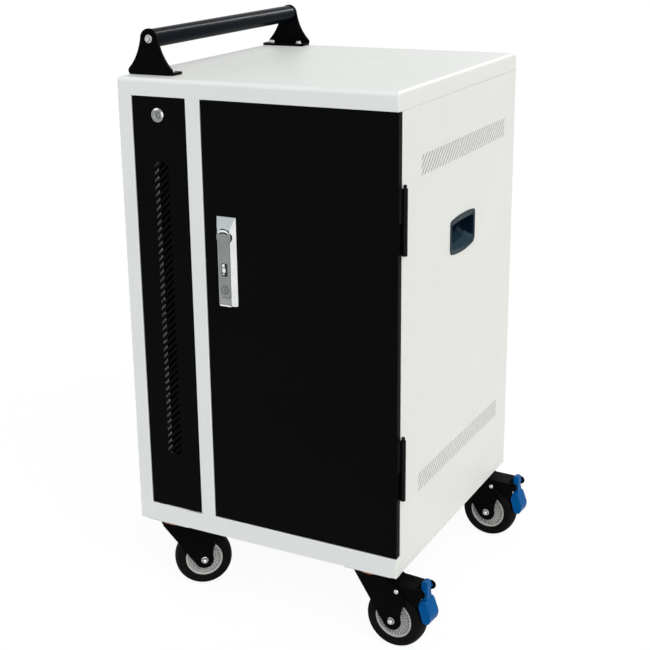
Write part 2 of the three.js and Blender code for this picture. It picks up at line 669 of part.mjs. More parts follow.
function bar(x, z, size, y0, direction, boreR) {
  const [low, high] = [z - direction * size.tail, z + direction * size.reach].sort((a, b) => a - b);
  const outline = roundedRectangle(x - size.width / 2, x + size.width / 2, low, high, size.corner);
  return cut(alongY(outline, y0, y0 + size.thick, 2), barY(x, z, boreR, y0 - 1, y0 + size.thick + 1, 14));
}

function lockTongue() {
  return bar(LOCK_PLACE.x, LOCK_PLACE.z, TONGUE, TONGUE_FRONT, -1, LOCK_SPINDLE_R + SEAM);
}

// Lever: a drafted bar with a round head whose top edge is flatter than the pocket round it, a heel relieved at the
// back so that it can lift, a groove over the lug, a window and a bore for the key.
function lockLever() {
  const { x, z } = LOCK_PLACE;
  const half = LEVER_HALF;
  const top = z + LEVER_HEAD_TOP;
  const outline = roundedRectangle(x - half, x + half, z - LEVER_END, z - RUN, LEVER_END_R);
  const section = drafted(LEVER_BACK, 2 * half, -LOCK_PROUD, LEVER_FACE);
  const arm = alongY(outline, -LOCK_PROUD, LEVER_BACK, 2).intersect(alongZ(section, z - LEVER_END, z));
  const disc = (middle, r, sides) => barY(x, middle, r, -LOCK_PROUD, LEVER_BACK, sides);
  const head = disc(z, LOCK_HEAD_R, 28).intersect(disc(top - LEVER_HEAD_BOW, LEVER_HEAD_BOW, 48));
  const heel = polygon(
    [LEVER_BACK + 1, top - LEVER_HEEL - 1], [LEVER_BACK + 1, top + 1], [LEVER_BACK - LEVER_HEEL - 1, top + 1],
  );
  const groove = LEVER_LUG / 2 + RUN;
  const skin = LEVER_PIN_Y - LEVER_LUG_R - RUN;
  const { width, height, down, depth, corner } = LEVER_WINDOW;
  const windowLow = z - down - height / 2;
  const window = roundedRectangle(x - width / 2, x + width / 2, windowLow, windowLow + height, corner);
  return cut(
    join(arm, head),
    alongX(heel, x - LOCK_WIDTH, x + LOCK_WIDTH),
    box(x - groove, x + groove, skin, 1, LUG_LOW - 2 * RUN, LEVER_PIN_Z + LEVER_LUG_R + RUN),
    alongY(window, -LOCK_PROUD - 1, depth - LOCK_PROUD, 2),
    barY(x, z - KEY_DOWN, KEY_R + SEAM, -LOCK_PROUD - 1, KEY_DEPTH + SEAM - LOCK_PROUD, 14),
  );
}

// Round key plug with a slot for the key in its face.
function keyPlug(x, z, r, face, back) {
  const { width, length, depth } = KEYWAY;
  return cut(
    barY(x, z, r, face, back, 14),
    box(x - width / 2, x + width / 2, face - 1, face + depth, z - length / 2, z + length / 2),
  );
}

function lockCylinder() {
  return keyPlug(LOCK_PLACE.x, LOCK_PLACE.z - KEY_DOWN, KEY_R, -LOCK_PROUD - SEAM, KEY_DEPTH - LOCK_PROUD);
}

// Push button with ribs across its face.
function lockButton() {
  const { x } = LOCK_PLACE;
  const half = BUTTON.width / 2;
  const low = BUTTON_LOW;
  const face = -LOCK_PROUD - BUTTON.proud;
  const pitch = BUTTON.height / (2 * BUTTON_RIBS + 1);
  const body = box(x - half, x + half, face + pitch / 2, -SEAM, low, low + BUTTON.height);
  const ribs = Array.from({ length: BUTTON_RIBS }, (_, i) => {
    const z = low + (2 * i + 1) * pitch;
    return box(x - half + pitch, x + half - pitch, face, face + pitch, z, z + pitch);
  });
  return join(body, ...ribs);
}

// Narrow panel: a folded pan with a column of slanted slots and a hole for its cam lock. It stands on two tabs on
// the bottom rail and tips out over them.
function ventPanel() {
  const inset = REVEAL + PANEL_TAB_INSET;
  const tabs = [STILE + inset, MULLION_LEFT - inset - PANEL_TAB].map((x) => (
    box(x, x + PANEL_TAB, SHEET, PAN_DEPTH, BOTTOM_RAIL + SEAM, BOTTOM_RAIL + REVEAL + SHEET)
  ));
  const left = STILE + PANEL_VENT.left;
  const right = left + PANEL_VENT.width;
  const low = PANEL_VENT.bottom;
  const slots = slantedSlots(left, right, low, low + PANEL_VENT.height, PANEL_SLOT_PITCH);
  return cut(
    join(pan(STILE + REVEAL, MULLION_LEFT - REVEAL), ...tabs),
    barY(CAM_PLACE.x, CAM_PLACE.z, CAM_BARREL_R + SEAM, -1, SHEET + 1, 14),
    ...slots.map((slot) => alongY(slot, -SHEET, 2 * SHEET)),
  );
}

function camLockBody() {
  const { x, z } = CAM_PLACE;
  return cut(
    join(
      barY(x, z, CAM_FACE_R, -CAM_FACE - SEAM, -SEAM, 18),
      barY(x, z, CAM_BARREL_R, -CAM_FACE, TONGUE_FRONT - SEAM, 14),
    ),
    barY(x, z, CAM_PLUG_R + SEAM, -2 * CAM_FACE, TONGUE_FRONT + 1, 14),
  );
}

function camLockPlug() {
  const face = -CAM_FACE - 2 * SEAM;
  return keyPlug(CAM_PLACE.x, CAM_PLACE.z, CAM_PLUG_R, face, TONGUE_FRONT + CAM_TONGUE.thick + SEAM);
}

function camLockTongue() {
  return bar(CAM_PLACE.x, CAM_PLACE.z, CAM_TONGUE, TONGUE_FRONT, -1, CAM_PLUG_R + SEAM);
}

// Socket strip on the power-bay face of the partition, with a row of round sockets facing the bay.
function socketStrip(low) {
  const back = PARTITION_LEFT - SEAM;
  const front = back - STRIP.depth;
  const outline = () => rectangle(STRIP.front, STRIP.front + STRIP.width, low, low + STRIP.length);
  const face = outline();
  const pitch = STRIP.length / STRIP.sockets;
  for (let i = 0; i < STRIP.sockets; i += 1) {
    const socket = new THREE.Path();
    socket.absarc(STRIP.front + STRIP.width / 2, low + (i + 0.5) * pitch, SOCKET_R, 0, 2 * Math.PI);
    face.holes.push(socket);
  }
  return join(alongX(face, front, front + SOCKET_DEPTH, 5), alongX(outline(), front + SOCKET_DEPTH, back));
}

function chargeController() {
  const { depth, width, length, front, bottom } = CONTROLLER;
  const back = PARTITION_LEFT - SEAM;
  const vent = CONTROLLER_VENT;
  const outline = roundedRectangle(front, front + width, bottom, bottom + length, CONTROLLER_CORNER);
  const face = back - depth;
  const pitch = length / (CONTROLLER_VENTS + 1);
  const vents = Array.from({ length: CONTROLLER_VENTS }, (_, i) => {
    const z = bottom + (i + 1) * pitch;
    const y = front + (width - vent.length) / 2;
    return box(face - 1, face + vent.depth, y, y + vent.length, z - vent.width / 2, z + vent.width / 2);
  });
  return cut(alongX(outline, face, back, 1), ...vents);
}

// Mains inlet behind a window in the back panel: a flange against the sheet, a body, an inlet socket and a well for
// the switch, with nothing proud of the panel.
const INLET_FACE = DEPTH - SHEET - SEAM;
const ROCKER_X = INLET_X + INLET.width / 4;
const ROCKER_PIVOT_Y = INLET_FACE - ROCKER.thick / 2 + ROCKER.proud;

function inletMouth() {
  const { width, height } = INLET_SOCKET;
  const chamfer = height / 3;
  const left = INLET_X - INLET.width / 5 - width / 2;
  const right = left + width;
  const low = INLET_Z - height / 2;
  const high = low + height;
  return polygon(
    [left, low], [right, low], [right, high - chamfer], [right - chamfer, high], [left + chamfer, high],
    [left, high - chamfer],
  );
}

function mainsInlet() {
  const half = INLET.width / 2;
  const tall = INLET.height / 2;
  const flange = roundedRectangle(INLET_X - half, INLET_X + half, INLET_Z - tall, INLET_Z + tall, INLET.corner);
  const flangeBack = INLET_FACE - INLET.flange;
  const inX = half - INLET.margin;
  const inZ = tall - INLET.margin;
  const wellX = ROCKER.width / 2 + RUN;
  const wellZ = ROCKER.height / 2 + 3 * RUN;
  const wellBack = ROCKER_PIVOT_Y - ROCKER.thick;
  return cut(
    join(
      alongY(flange, flangeBack, INLET_FACE, 3),
      box(INLET_X - inX, INLET_X + inX, flangeBack - INLET.body, INLET_FACE, INLET_Z - inZ, INLET_Z + inZ),
    ),
    alongY(inletMouth(), INLET_FACE - INLET_SOCKET.depth, INLET_FACE + 1),
    box(ROCKER_X - wellX, ROCKER_X + wellX, wellBack, INLET_FACE + 1, INLET_Z - wellZ, INLET_Z + wellZ),
  );
}

// Rocker, tipped to its off position.
function powerSwitch() {
  const half = ROCKER.height / 2;
  const deep = ROCKER.thick / 2;
  const tilt = THREE.MathUtils.degToRad(ROCKER.tilt);
  const pivot = new THREE.Vector2(ROCKER_PIVOT_Y, INLET_Z);
  const corners = [[-deep, -half / 2], [deep, -half], [deep - ROCKER.hollow, 0], [deep, half], [-deep, half / 2]];
  const outline = corners.map(([y, z]) => new THREE.Vector2(y, z).add(pivot).rotateAround(pivot, -tilt));
  return alongX(new THREE.Shape(outline), ROCKER_X - ROCKER.width / 2, ROCKER_X + ROCKER.width / 2);
}

// Caster, in its own frame: X along the trail from the swivel axis, Y along the axle, Z from the floor.
const PLATE_TOP = FLOOR_CLEARANCE - SEAM;
const PLATE_BOTTOM = PLATE_TOP - CASTER_PLATE.thick;
const CROWN_TOP = PLATE_BOTTOM - RACE - SEAM;
const CROWN_BOTTOM = CROWN_TOP - CROWN;
const LEG_INNER = WHEEL_WIDTH / 2 + FORK_SIDE_GAP;
const LEG_OUTER = LEG_INNER + FORK_LEG;
const BRAKE_HALF = LEG_INNER + BRAKE_ARM.lap;

function casterPlate() {
  const { length, width, corner } = CASTER_PLATE;
  const outline = roundedRectangle(-length / 2, length / 2, -width / 2, width / 2, corner);
  const nutTop = CROWN_BOTTOM - SEAM;
  return join(
    alongZ(outline, PLATE_BOTTOM, PLATE_TOP, 1),
    barZ(0, 0, RACE_R, PLATE_BOTTOM - RACE, PLATE_BOTTOM, 16),
    barZ(0, 0, KINGPIN_R, nutTop - KINGPIN_NUT, PLATE_BOTTOM, 8),
    barZ(0, 0, KINGPIN_NUT_R, nutTop - KINGPIN_NUT, nutTop, 6),
  );
}

// Side of the fork: a straight leading edge that runs into the round eye at the axle, and a waisted trailing edge
// that spreads out again over the wheel.
function forkLeg() {
  const lead = new THREE.Vector2(FORK_EDGE / 2 - CROWN_R, CROWN_TOP);
  const eye = new THREE.Vector2(CASTER_TRAIL, WHEEL_R);
  const reach = eye.clone().sub(lead);
  const tangent = reach.angle() - Math.asin(FORK_EYE_R / reach.length()) - Math.PI / 2;
  const back = eye.x + FORK_EYE_R;
  const { up, bow, top, back: shoulder } = FORK_SHOULDER;
  const shape = new THREE.Shape();
  shape.moveTo(lead.x, lead.y);
  shape.lineTo(eye.x + FORK_EYE_R * Math.cos(tangent), eye.y + FORK_EYE_R * Math.sin(tangent));
  shape.absarc(eye.x, eye.y, FORK_EYE_R, tangent, 2 * Math.PI);
  shape.quadraticCurveTo(back - FORK_WAIST, eye.y + FORK_EYE_R, back + FORK_SPREAD - FORK_EDGE, eye.y + up);
  shape.quadraticCurveTo(back + FORK_SHOULDER.back, eye.y + bow, back + FORK_SPREAD - shoulder, eye.y + top);
  shape.lineTo(CROWN_R - FORK_EDGE, CROWN_TOP);
  shape.closePath();
  return shape;
}

function brakeArm() {
  const { top, wall, from, to, drop } = BRAKE_ARM;
  const half = BRAKE_HALF;
  const { along, up, r } = PEDAL_PIVOT;
  const cheek = new THREE.Shape();
  cheek.moveTo(from, top - drop);
  cheek.lineTo(BRAKE_SKIRT.from, top - drop);
  cheek.lineTo(along - BRAKE_SKIRT.front, up - BRAKE_SKIRT.drop);
  cheek.lineTo(along - BRAKE_SKIRT.back, up - BRAKE_SKIRT.drop);
  cheek.lineTo(along, up - PEDAL_EAR_R);
  cheek.absarc(along, up, PEDAL_EAR_R, -Math.PI / 2, Math.PI / 2);
  cheek.lineTo(to, top);
  cheek.lineTo(from, top);
  cheek.closePath();
  return cut(
    join(
      box(from, to, -half, half, top - wall, top),
      alongY(cheek, -half, wall - half, 3),
      alongY(cheek, half - wall, half, 3),
    ),
    barY(along, up, r + RUN, -2 * half, 2 * half, 10),
  );
}

function casterFork(braked) {
  const crown = barZ(0, 0, CROWN_R, CROWN_BOTTOM, CROWN_TOP, 16);
  const legs = [alongY(forkLeg(), LEG_INNER, LEG_OUTER, 3), alongY(forkLeg(), -LEG_OUTER, -LEG_INNER, 3)];
  const web = box(-FORK_WEB.front, FORK_WEB.back, -LEG_INNER, LEG_INNER, CROWN_BOTTOM, CROWN_TOP);
  const body = cut(
    join(crown, web, ...legs),
    barY(CASTER_TRAIL, WHEEL_R, AXLE_R + SEAM, -2 * LEG_OUTER, 2 * LEG_OUTER, 10),
    barZ(0, 0, KINGPIN_R + RUN, CROWN_BOTTOM - 1, CROWN_TOP + 1, 10),
  );
  return braked ? join(body, brakeArm()) : body;
}

// Turned about the axle: a closed profile of (radius, place along the axle).
function turned(profile, sides) {
  const points = profile.map(([r, y]) => new THREE.Vector2(r, y));
  const geometry = new THREE.LatheGeometry([...points, points[0]], sides);
  return solid(geometry.translate(CASTER_TRAIL, 0, WHEEL_R));
}

function casterTyre() {
  const half = WHEEL_WIDTH / 2;
  const inner = HUB_R + SEAM;
  const crown = WHEEL_R - TYRE_SHOULDER;
  return turned([
    [inner, TYRE_EDGE - half], [crown, -half], [WHEEL_R, 2 * TYRE_SHOULDER - half],
    [WHEEL_R, half - 2 * TYRE_SHOULDER], [crown, half], [inner, half - TYRE_EDGE],
  ], 24);
}

// Moulded hub: a rim, a dished web with radial ribs on both sides, and a boss on the axle.
function casterHub() {
  const half = WHEEL_WIDTH / 2;
  const rim = HUB_R - HUB_RIM;
  const edge = half - HUB_RIM_SINK;
  const web = half - 2 * HUB_DISH;
  const bore = AXLE_R + SEAM;
  const wheel = turned([
    [bore, -half], [HUB_BOSS_R, -half], [rim, -web], [rim, -edge], [HUB_R, -edge],
    [HUB_R, edge], [rim, edge], [rim, web], [HUB_BOSS_R, half], [bore, half],
  ], 12);
  const ribs = Array.from({ length: HUB_RIBS }, (_, i) => {
    const geometry = new THREE.BoxGeometry(rim - HUB_BOSS_R + HUB_RIB, WHEEL_WIDTH - 2 * HUB_DISH, HUB_RIB);
    geometry.translate((rim + HUB_BOSS_R) / 2, 0, 0).rotateY((i * 2 * Math.PI) / HUB_RIBS);
    return solid(geometry.translate(CASTER_TRAIL, 0, WHEEL_R));
  });
  return join(wheel, ...ribs);
}

function casterAxle() {
  const nutIn = LEG_OUTER + SEAM;
  const nutOut = nutIn + AXLE_NUT;
  return join(
    barY(CASTER_TRAIL, WHEEL_R, AXLE_R, -nutOut, nutOut, 8),
    barY(CASTER_TRAIL, WHEEL_R, AXLE_NUT_R, nutIn, nutOut, 6),
    barY(CASTER_TRAIL, WHEEL_R, AXLE_NUT_R, -nutOut, -nutIn, 6),
  );
}

// Polygon whose corners are rounded off by a distance along its sides.
function softened(r, ...points) {
  const corners = points.map(([u, v]) => new THREE.Vector2(u, v));
  const shape = new THREE.Shape();
  corners.forEach((corner, i) => {
    const towards = (other) => corner.clone().add(other.clone().sub(corner).setLength(r));
    const start = towards(corners.at(i - 1));
    const end = towards(corners[(i + 1) % corners.length]);
    if (i === 0) shape.moveTo(start.x, start.y);
    else shape.lineTo(start.x, start.y);
    shape.quadraticCurveTo(corner.x, corner.y, end.x, end.y);
  });
  shape.closePath();
  return shape;
}

// Brake pedal: a short tab above the pivot to release it, and a broad lobe below to press it on.
function brakePedal() {
  const { along, up, r } = PEDAL_PIVOT;
  const at = (...points) => points.map(([da, dz]) => [along + da, up + dz]);
  const tab = PEDAL_TAB;
  const neck = PEDAL_NECK;
  const lobe = PEDAL_LOBE;
  const tabOutline = softened(tab.round, ...at(
    [-tab.front, -tab.drop], [tab.front, -tab.drop], [tab.back, tab.top], [-tab.front, tab.top],
  ));
  const neckOutline = polygon(...at(
    [-neck.front, -neck.lap], [-neck.front, -neck.drop], [neck.back, -neck.drop], [neck.back, -neck.lap],
  ));
  const lobeOutline = softened(lobe.round, ...at(
    [-lobe.toe, -lobe.top], [-lobe.front, -lobe.heel], [lobe.toe / 2, -lobe.bottom],
    [lobe.back - lobe.toe, -lobe.bottom], [lobe.back, -lobe.bulge], [lobe.front, -lobe.top],
  ));
  return join(
    alongY(tabOutline, -tab.half, tab.half, 2),
    alongY(neckOutline, -neck.half, neck.half),
    alongY(lobeOutline, -lobe.half, lobe.half, 2),
    barY(along, up, r, -BRAKE_HALF, BRAKE_HALF, 10),
  );
}

function addCaster(corner, x, y, braked) {
  const caster = new THREE.Group();
  const swivel = new THREE.Group();
  caster.position.set(x, y, 0);
  swivel.rotation.z = THREE.MathUtils.degToRad(CASTER_ANGLES[corner]);
  caster.add(swivel);
  cart.add(caster);
  place(caster, `caster_plate_${corner}`, casterPlate(), ZINC);
  place(swivel, `caster_fork_${corner}`, casterFork(braked), BLACK_STEEL);
  place(swivel, `caster_axle_${corner}`, casterAxle(), ZINC);
  place(swivel, `wheel_hub_${corner}`, casterHub(), GREY_PLASTIC);
  place(swivel, `tyre_${corner}`, casterTyre(), RUBBER);
  if (braked) place(swivel, `brake_pedal_${corner}`, brakePedal(), BLUE_PLASTIC);
}

place(cabinet, 'base_pan', basePan(), WHITE_PAINT);
place(cabinet, 'front_frame', frontFrame(), WHITE_PAINT);
place(cabinet, 'left_side_panel', leftSidePanel(), WHITE_PAINT);
place(cabinet, 'right_side_panel', rightSidePanel(), WHITE_PAINT);
place(cabinet, 'back_panel', backPanel(), WHITE_PAINT);
place(cabinet, 'top_cover', topCover(), WHITE_PAINT);
place(cabinet, 'partition_wall', partitionWall(), WHITE_PAINT);
place(cabinet, 'middle_shelf', middleShelf(), WHITE_PAINT);
place(cabinet, 'lower_divider_rack', dividerRack(SHEET), DARK_PLASTIC);
place(cabinet, 'upper_divider_rack', dividerRack(SHELF_Z + SHEET), DARK_PLASTIC);
place(cabinet, 'left_cup_handle', cupHandle(-1, 0), SLATE_PLASTIC);
place(cabinet, 'right_cup_handle', cupHandle(1, WIDTH), SLATE_PLASTIC);
place(cabinet, 'handle_tube', handleTube(), BLACK_STEEL);
place(cabinet, 'handle_bracket_front', handleBracket(BRACKET_FRONT, 1), BLACK_STEEL);
place(cabinet, 'handle_bracket_rear', handleBracket(REAR_BRACKET, -1), BLACK_STEEL);

place(cabinet, 'socket_strip_lower', socketStrip(STRIP_LOW), DARK_PLASTIC);
place(cabinet, 'socket_strip_upper', socketStrip(STRIP_HIGH), DARK_PLASTIC);
place(cabinet, 'charge_controller', chargeController(), DARK_PLASTIC);
place(cabinet, 'mains_inlet', mainsInlet(), DARK_PLASTIC);
place(cabinet, 'power_switch', powerSwitch(), DARK_PLASTIC);

for (const [level, low] of [['lower', HINGE_LOW], ['upper', HINGE_HIGH]]) {
  place(cabinet, `hinge_frame_leaf_${level}`, hingeFrameLeaf(low), BLACK_STEEL);
  place(cabinet, `hinge_door_leaf_${level}`, hingeDoorLeaf(low), BLACK_STEEL);
  place(cabinet, `hinge_pin_${level}`, hingePin(low), BLACK_STEEL);
}
place(cabinet, 'door_panel', doorPanel(), BLACK_PAINT);
place(cabinet, 'lock_base', lockBase(), SATIN_SILVER);
place(cabinet, 'lock_spindle', lockSpindle(), SATIN_SILVER);
place(cabinet, 'lock_tongue', lockTongue(), ZINC);
place(cabinet, 'lock_lever', lockLever(), SATIN_SILVER);
place(cabinet, 'lock_cylinder', lockCylinder(), ZINC);
place(cabinet, 'lock_button', lockButton(), SATIN_SILVER);
place(cabinet, 'vent_panel', ventPanel(), BLACK_PAINT);
place(cabinet, 'panel_lock_body', camLockBody(), SATIN_SILVER);
place(cabinet, 'panel_lock_plug', camLockPlug(), ZINC);
place(cabinet, 'panel_lock_tongue', camLockTongue(), ZINC);

const casterX = WIDTH / 2 - CASTER_INSET_X;
const casterY = DEPTH / 2 - CASTER_INSET_Y;
addCaster('front_left', -casterX, -casterY, false);
addCaster('front_right', casterX, -casterY, true);
addCaster('rear_right', casterX, casterY, true);
addCaster('rear_left', -casterX, casterY, false);

// The origin is on the floor, under the middle of the whole cart.
cart.updateMatrixWorld(true);
const middle = new THREE.Box3().setFromObject(cart, true).getCenter(new THREE.Vector3());
cart.position.set(-middle.x, -middle.y, 0);
cart.updateMatrixWorld(true);

export default cart;
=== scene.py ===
"""Laptop charging cart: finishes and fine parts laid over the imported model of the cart."""
import json
import math

import bmesh
import bpy
from mathutils import Matrix, Vector


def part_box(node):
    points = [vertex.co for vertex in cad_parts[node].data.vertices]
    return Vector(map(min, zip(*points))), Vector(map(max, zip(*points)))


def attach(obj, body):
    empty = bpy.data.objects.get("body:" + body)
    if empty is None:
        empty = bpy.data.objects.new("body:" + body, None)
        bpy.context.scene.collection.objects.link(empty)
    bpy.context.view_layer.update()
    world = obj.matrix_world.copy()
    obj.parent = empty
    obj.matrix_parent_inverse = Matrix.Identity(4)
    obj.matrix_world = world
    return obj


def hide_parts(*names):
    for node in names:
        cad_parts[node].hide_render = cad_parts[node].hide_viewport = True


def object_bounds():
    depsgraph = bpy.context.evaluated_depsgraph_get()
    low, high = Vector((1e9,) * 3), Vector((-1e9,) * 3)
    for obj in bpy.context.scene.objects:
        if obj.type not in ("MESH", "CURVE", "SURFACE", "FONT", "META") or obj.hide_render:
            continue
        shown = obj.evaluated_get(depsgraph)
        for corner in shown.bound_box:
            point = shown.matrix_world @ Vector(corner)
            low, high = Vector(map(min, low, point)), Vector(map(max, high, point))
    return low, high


bl_info = {
    "name": "Laptop Charging Cart",
    "version": (1, 0, 0),
    "blender": (4, 5, 0),
    "location": "View3D > Sidebar > Cart",
    "description": "Dresses the packed charging cart with its finishes, fasteners, stage and camera",
    "category": "Object",
}

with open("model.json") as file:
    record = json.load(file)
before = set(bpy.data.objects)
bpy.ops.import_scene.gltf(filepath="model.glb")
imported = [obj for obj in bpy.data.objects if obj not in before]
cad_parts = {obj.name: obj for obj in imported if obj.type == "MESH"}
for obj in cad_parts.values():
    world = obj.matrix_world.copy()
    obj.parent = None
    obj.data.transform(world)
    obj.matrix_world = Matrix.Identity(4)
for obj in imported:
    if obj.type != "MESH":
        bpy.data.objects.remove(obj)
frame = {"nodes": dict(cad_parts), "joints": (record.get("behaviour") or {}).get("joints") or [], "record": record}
CAD_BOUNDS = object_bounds()
RECORD = frame["record"]
SLOT_OF = {row["node"]: row["material_slot"] for row in RECORD["subparts"]}
BODY_OF = {node: body for body, nodes in RECORD["behaviour"]["bodies"].items() for node in nodes}
CORNERS = ("front_left", "front_right", "rear_right", "rear_left")
BRAKED = ("front_right", "rear_right")
JOINTS = {joint["name"]: joint for joint in frame["joints"]}
MM = 0.001


def colour(name, description, default):
    return bpy.props.FloatVectorProperty(
        name=name, description=description, default=default, size=3, min=0, max=1, subtype="COLOR")


def length(name, description, default):
    return bpy.props.FloatProperty(
        name=name, description=description, default=default, min=0, unit="LENGTH", precision=5)


class CartColours(bpy.types.PropertyGroup):
    """Colours of the finishes, as they are seen under plain light."""

    white_paint: colour("White paint", "Powder coat of the cabinet", (0.80, 0.805, 0.795))
    cut_edge: colour("Cut edge", "Thin coat on the walls of the vent slots", (0.60, 0.60, 0.59))
    black_paint: colour("Black paint", "Powder coat of the door and the narrow panel", (0.0020, 0.0020, 0.0022))
    handle_black: colour("Handle black", "Gloss coat of the push handle's tube", (0.0030, 0.0048, 0.0085))
    black_steel: colour("Black steel", "Coat of the hinges", (0.0030, 0.0031, 0.0036))
    fork_black: colour("Fork black", "Coat of the caster forks", (0.0020, 0.0020, 0.0021))
    # Painted light and shade on the lock: satin_silver is the bright copy of the plated metal, roof_shaded_silver and
    # lever_grey are darker copies that stand in for the dimmer reflections of the roof, the pocket floor and the
    # lever's face.
    satin_silver: colour("Satin silver", "Plated lock castings", (0.90, 0.91, 0.93))
    roof_shaded_silver: colour("Roof silver", "Brushed roof over the lever's head", (0.50, 0.54, 0.56))
    lever_grey: colour("Lever grey", "Brushed lever, button and cam lock", (0.255, 0.265, 0.265))
    button_grey: colour("Button grey", "Push button under the lever", (0.37, 0.37, 0.385))
    key_grey: colour("Key grey", "Ring round the key cylinder", (0.10, 0.10, 0.105))
    bright_zinc: colour("Bright zinc", "Bolts, axles and caster plates", (0.56, 0.57, 0.59))
    race_gold: colour("Raceway gold", "Passivated raceway rings of the casters", (0.40, 0.17, 0.08))
    slate_plastic: colour("Slate plastic", "Cup handles", (0.0120, 0.0265, 0.0380))
    # Painted light and painted shade: lighter and darker copies of the slate for the scoop of a cup handle, lit on the
    # ramp and shaded in the depth.
    slate_painted_light: colour("Light slate", "Ramp at the foot of a cup handle", (0.024, 0.049, 0.069))
    slate_painted_shade: colour("Slate shade", "Depth of a cup handle", (0.0010, 0.0060, 0.0140))
    hub_grey: colour("Hub grey", "Wheel hubs", (0.44, 0.44, 0.43))
    dark_plastic: colour("Dark plastic", "Racks and power pieces", (0.012, 0.012, 0.013))
    rubber: colour("Rubber", "Tyres", (0.0030, 0.0029, 0.0028))
    brake_blue: colour("Brake blue", "Brake pedals", (0.0, 0.084, 0.285))
    floor: colour("Floor", "Pale floor", (0.50, 0.50, 0.50))


class CartSizes(bpy.types.PropertyGroup):
    """Sizes of the details that the frame does not hold."""

    sheet_round: length("Sheet rounding", "Round on the folded edges of sheet metal", 0.0012)
    cover_round: length("Cover rounding", "Round on the edges of the top cover", 0.0070)
    casting_round: length("Casting rounding", "Round on the edges of the lock castings", 0.0005)
    bracket_round: length("Bracket rounding", "Round on the edges of plates and forks", 0.0006)
    moulding_round: length("Moulding rounding", "Round on the edges of moulded pieces", 0.0008)


class CartView(bpy.types.PropertyGroup):
    """Where the camera stands, from the lower left front corner of the cabinet, and how it looks."""

    place: bpy.props.FloatVectorProperty(
        name="Place", description="Camera place from the cabinet's lower left front corner",
        default=(1.2826, -1.7469, 1.0801), size=3, subtype="XYZ_LENGTH")
    azimuth: bpy.props.FloatProperty(
        name="Azimuth", description="Turn of the view to the right of the front", default=math.radians(29.40), subtype="ANGLE")
    elevation: bpy.props.FloatProperty(
        name="Elevation", description="Height of the view above the horizon", default=math.radians(17.02), subtype="ANGLE")
    roll: bpy.props.FloatProperty(
        name="Roll", description="Tilt of the picture", default=math.radians(-1.27), subtype="ANGLE")
    lens: bpy.props.FloatProperty(
        name="Lens", description="Focal length on a 36 mm sensor, in millimetres", default=71.9)
    shift: bpy.props.FloatVectorProperty(
        name="Shift", description="Offset of the picture's middle", default=(0.0703, -0.0502), size=2)


def colours():
    return bpy.context.scene.cart_colours


def sizes():
    return bpy.context.scene.cart_sizes


# Finishes

def new_finish(name):
    """A fresh material with its tree, shader and Object coordinates."""
    material = bpy.data.materials.new(name)
    material.use_nodes = True
    tree = material.node_tree
    shader = tree.nodes["Principled BSDF"]
    where = tree.nodes.new("ShaderNodeTexCoord").outputs["Object"]
    return material, tree, shader, where


def noise(tree, where, scale, detail=3.0, stretch=None):
    """Noise at a scale of cells per metre, drawn out along the axes where stretch is given."""
    if stretch:
        mapping = tree.nodes.new("ShaderNodeMapping")
        mapping.inputs["Scale"].default_value = stretch
        tree.links.new(where, mapping.inputs["Vector"])
        where = mapping.outputs["Vector"]
    texture = tree.nodes.new("ShaderNodeTexNoise")
    texture.inputs["Scale"].default_value = scale
    texture.inputs["Detail"].default_value = detail
    tree.links.new(where, texture.inputs["Vector"])
    return texture.outputs["Fac"]


def spread(tree, value, low, high):
    """The value, mapped from the middle of the noise to a range."""
    node = tree.nodes.new("ShaderNodeMapRange")
    for socket, number in (("From Min", 0.3), ("From Max", 0.7), ("To Min", low), ("To Max", high)):
        node.inputs[socket].default_value = number
    tree.links.new(value, node.inputs["Value"])
    return node.outputs["Result"]


def tint(tree, value, shader, shade, contrast):
    """Lets the base colour drift a little round its shade."""
    ramp = tree.nodes.new("ShaderNodeValToRGB")
    for stop, share in ((0, 1 - contrast), (1, 1 + contrast)):
        ramp.color_ramp.elements[stop].position = 0.3 + 0.4 * stop
        ramp.color_ramp.elements[stop].color = [min(1, part * share) for part in shade] + [1]
    tree.links.new(value, ramp.inputs["Fac"])
    tree.links.new(ramp.outputs["Color"], shader.inputs["Base Color"])


def relief(tree, shader, *layers):
    """Bump from one or more (height, depth in metres) layers."""
    normal = None
    for height, depth in layers:
        bump = tree.nodes.new("ShaderNodeBump")
        bump.inputs["Strength"].default_value = 1
        bump.inputs["Distance"].default_value = depth
        tree.links.new(height, bump.inputs["Height"])
        if normal:
            tree.links.new(normal, bump.inputs["Normal"])
        normal = bump.outputs["Normal"]
    tree.links.new(normal, shader.inputs["Normal"])


def powder_coat(name, shade, gloss, rough, peel, drift):
    """Powder coat: a fine orange peel over flat sheet, with a faint drift of tone and sheen."""
    material, tree, shader, where = new_finish(name)
    shader.inputs["Specular IOR Level"].default_value = gloss
    tint(tree, noise(tree, where, 9), shader, shade, drift)
    tree.links.new(spread(tree, noise(tree, where, 60), rough - 0.04, rough + 0.05), shader.inputs["Roughness"])
    relief(tree, shader, (noise(tree, where, 900, 2), peel), (noise(tree, where, 170, 1), 1.5 * peel))
    return material


def moulded(name, shade, gloss, rough, grain, cells):
    """Moulded plastic with a spark-eroded grain."""
    material, tree, shader, where = new_finish(name)
    shader.inputs["Specular IOR Level"].default_value = gloss
    tint(tree, noise(tree, where, 35), shader, shade, 0.06)
    tree.links.new(spread(tree, noise(tree, where, 220), rough - 0.06, rough + 0.06), shader.inputs["Roughness"])
    relief(tree, shader, (noise(tree, where, cells, 2), grain))
    return material


def plated(name, shade, rough, stretch, depth, metal=1.0):
    """Plated or brushed metal: streaks along the axis that is least stretched."""
    material, tree, shader, where = new_finish(name)
    shader.inputs["Metallic"].default_value = metal
    streaks = noise(tree, where, 300, 4, stretch)
    tint(tree, noise(tree, where, 45), shader, shade, 0.07)
    tree.links.new(spread(tree, streaks, rough - 0.06, rough + 0.08), shader.inputs["Roughness"])
    relief(tree, shader, (streaks, depth))
    return material


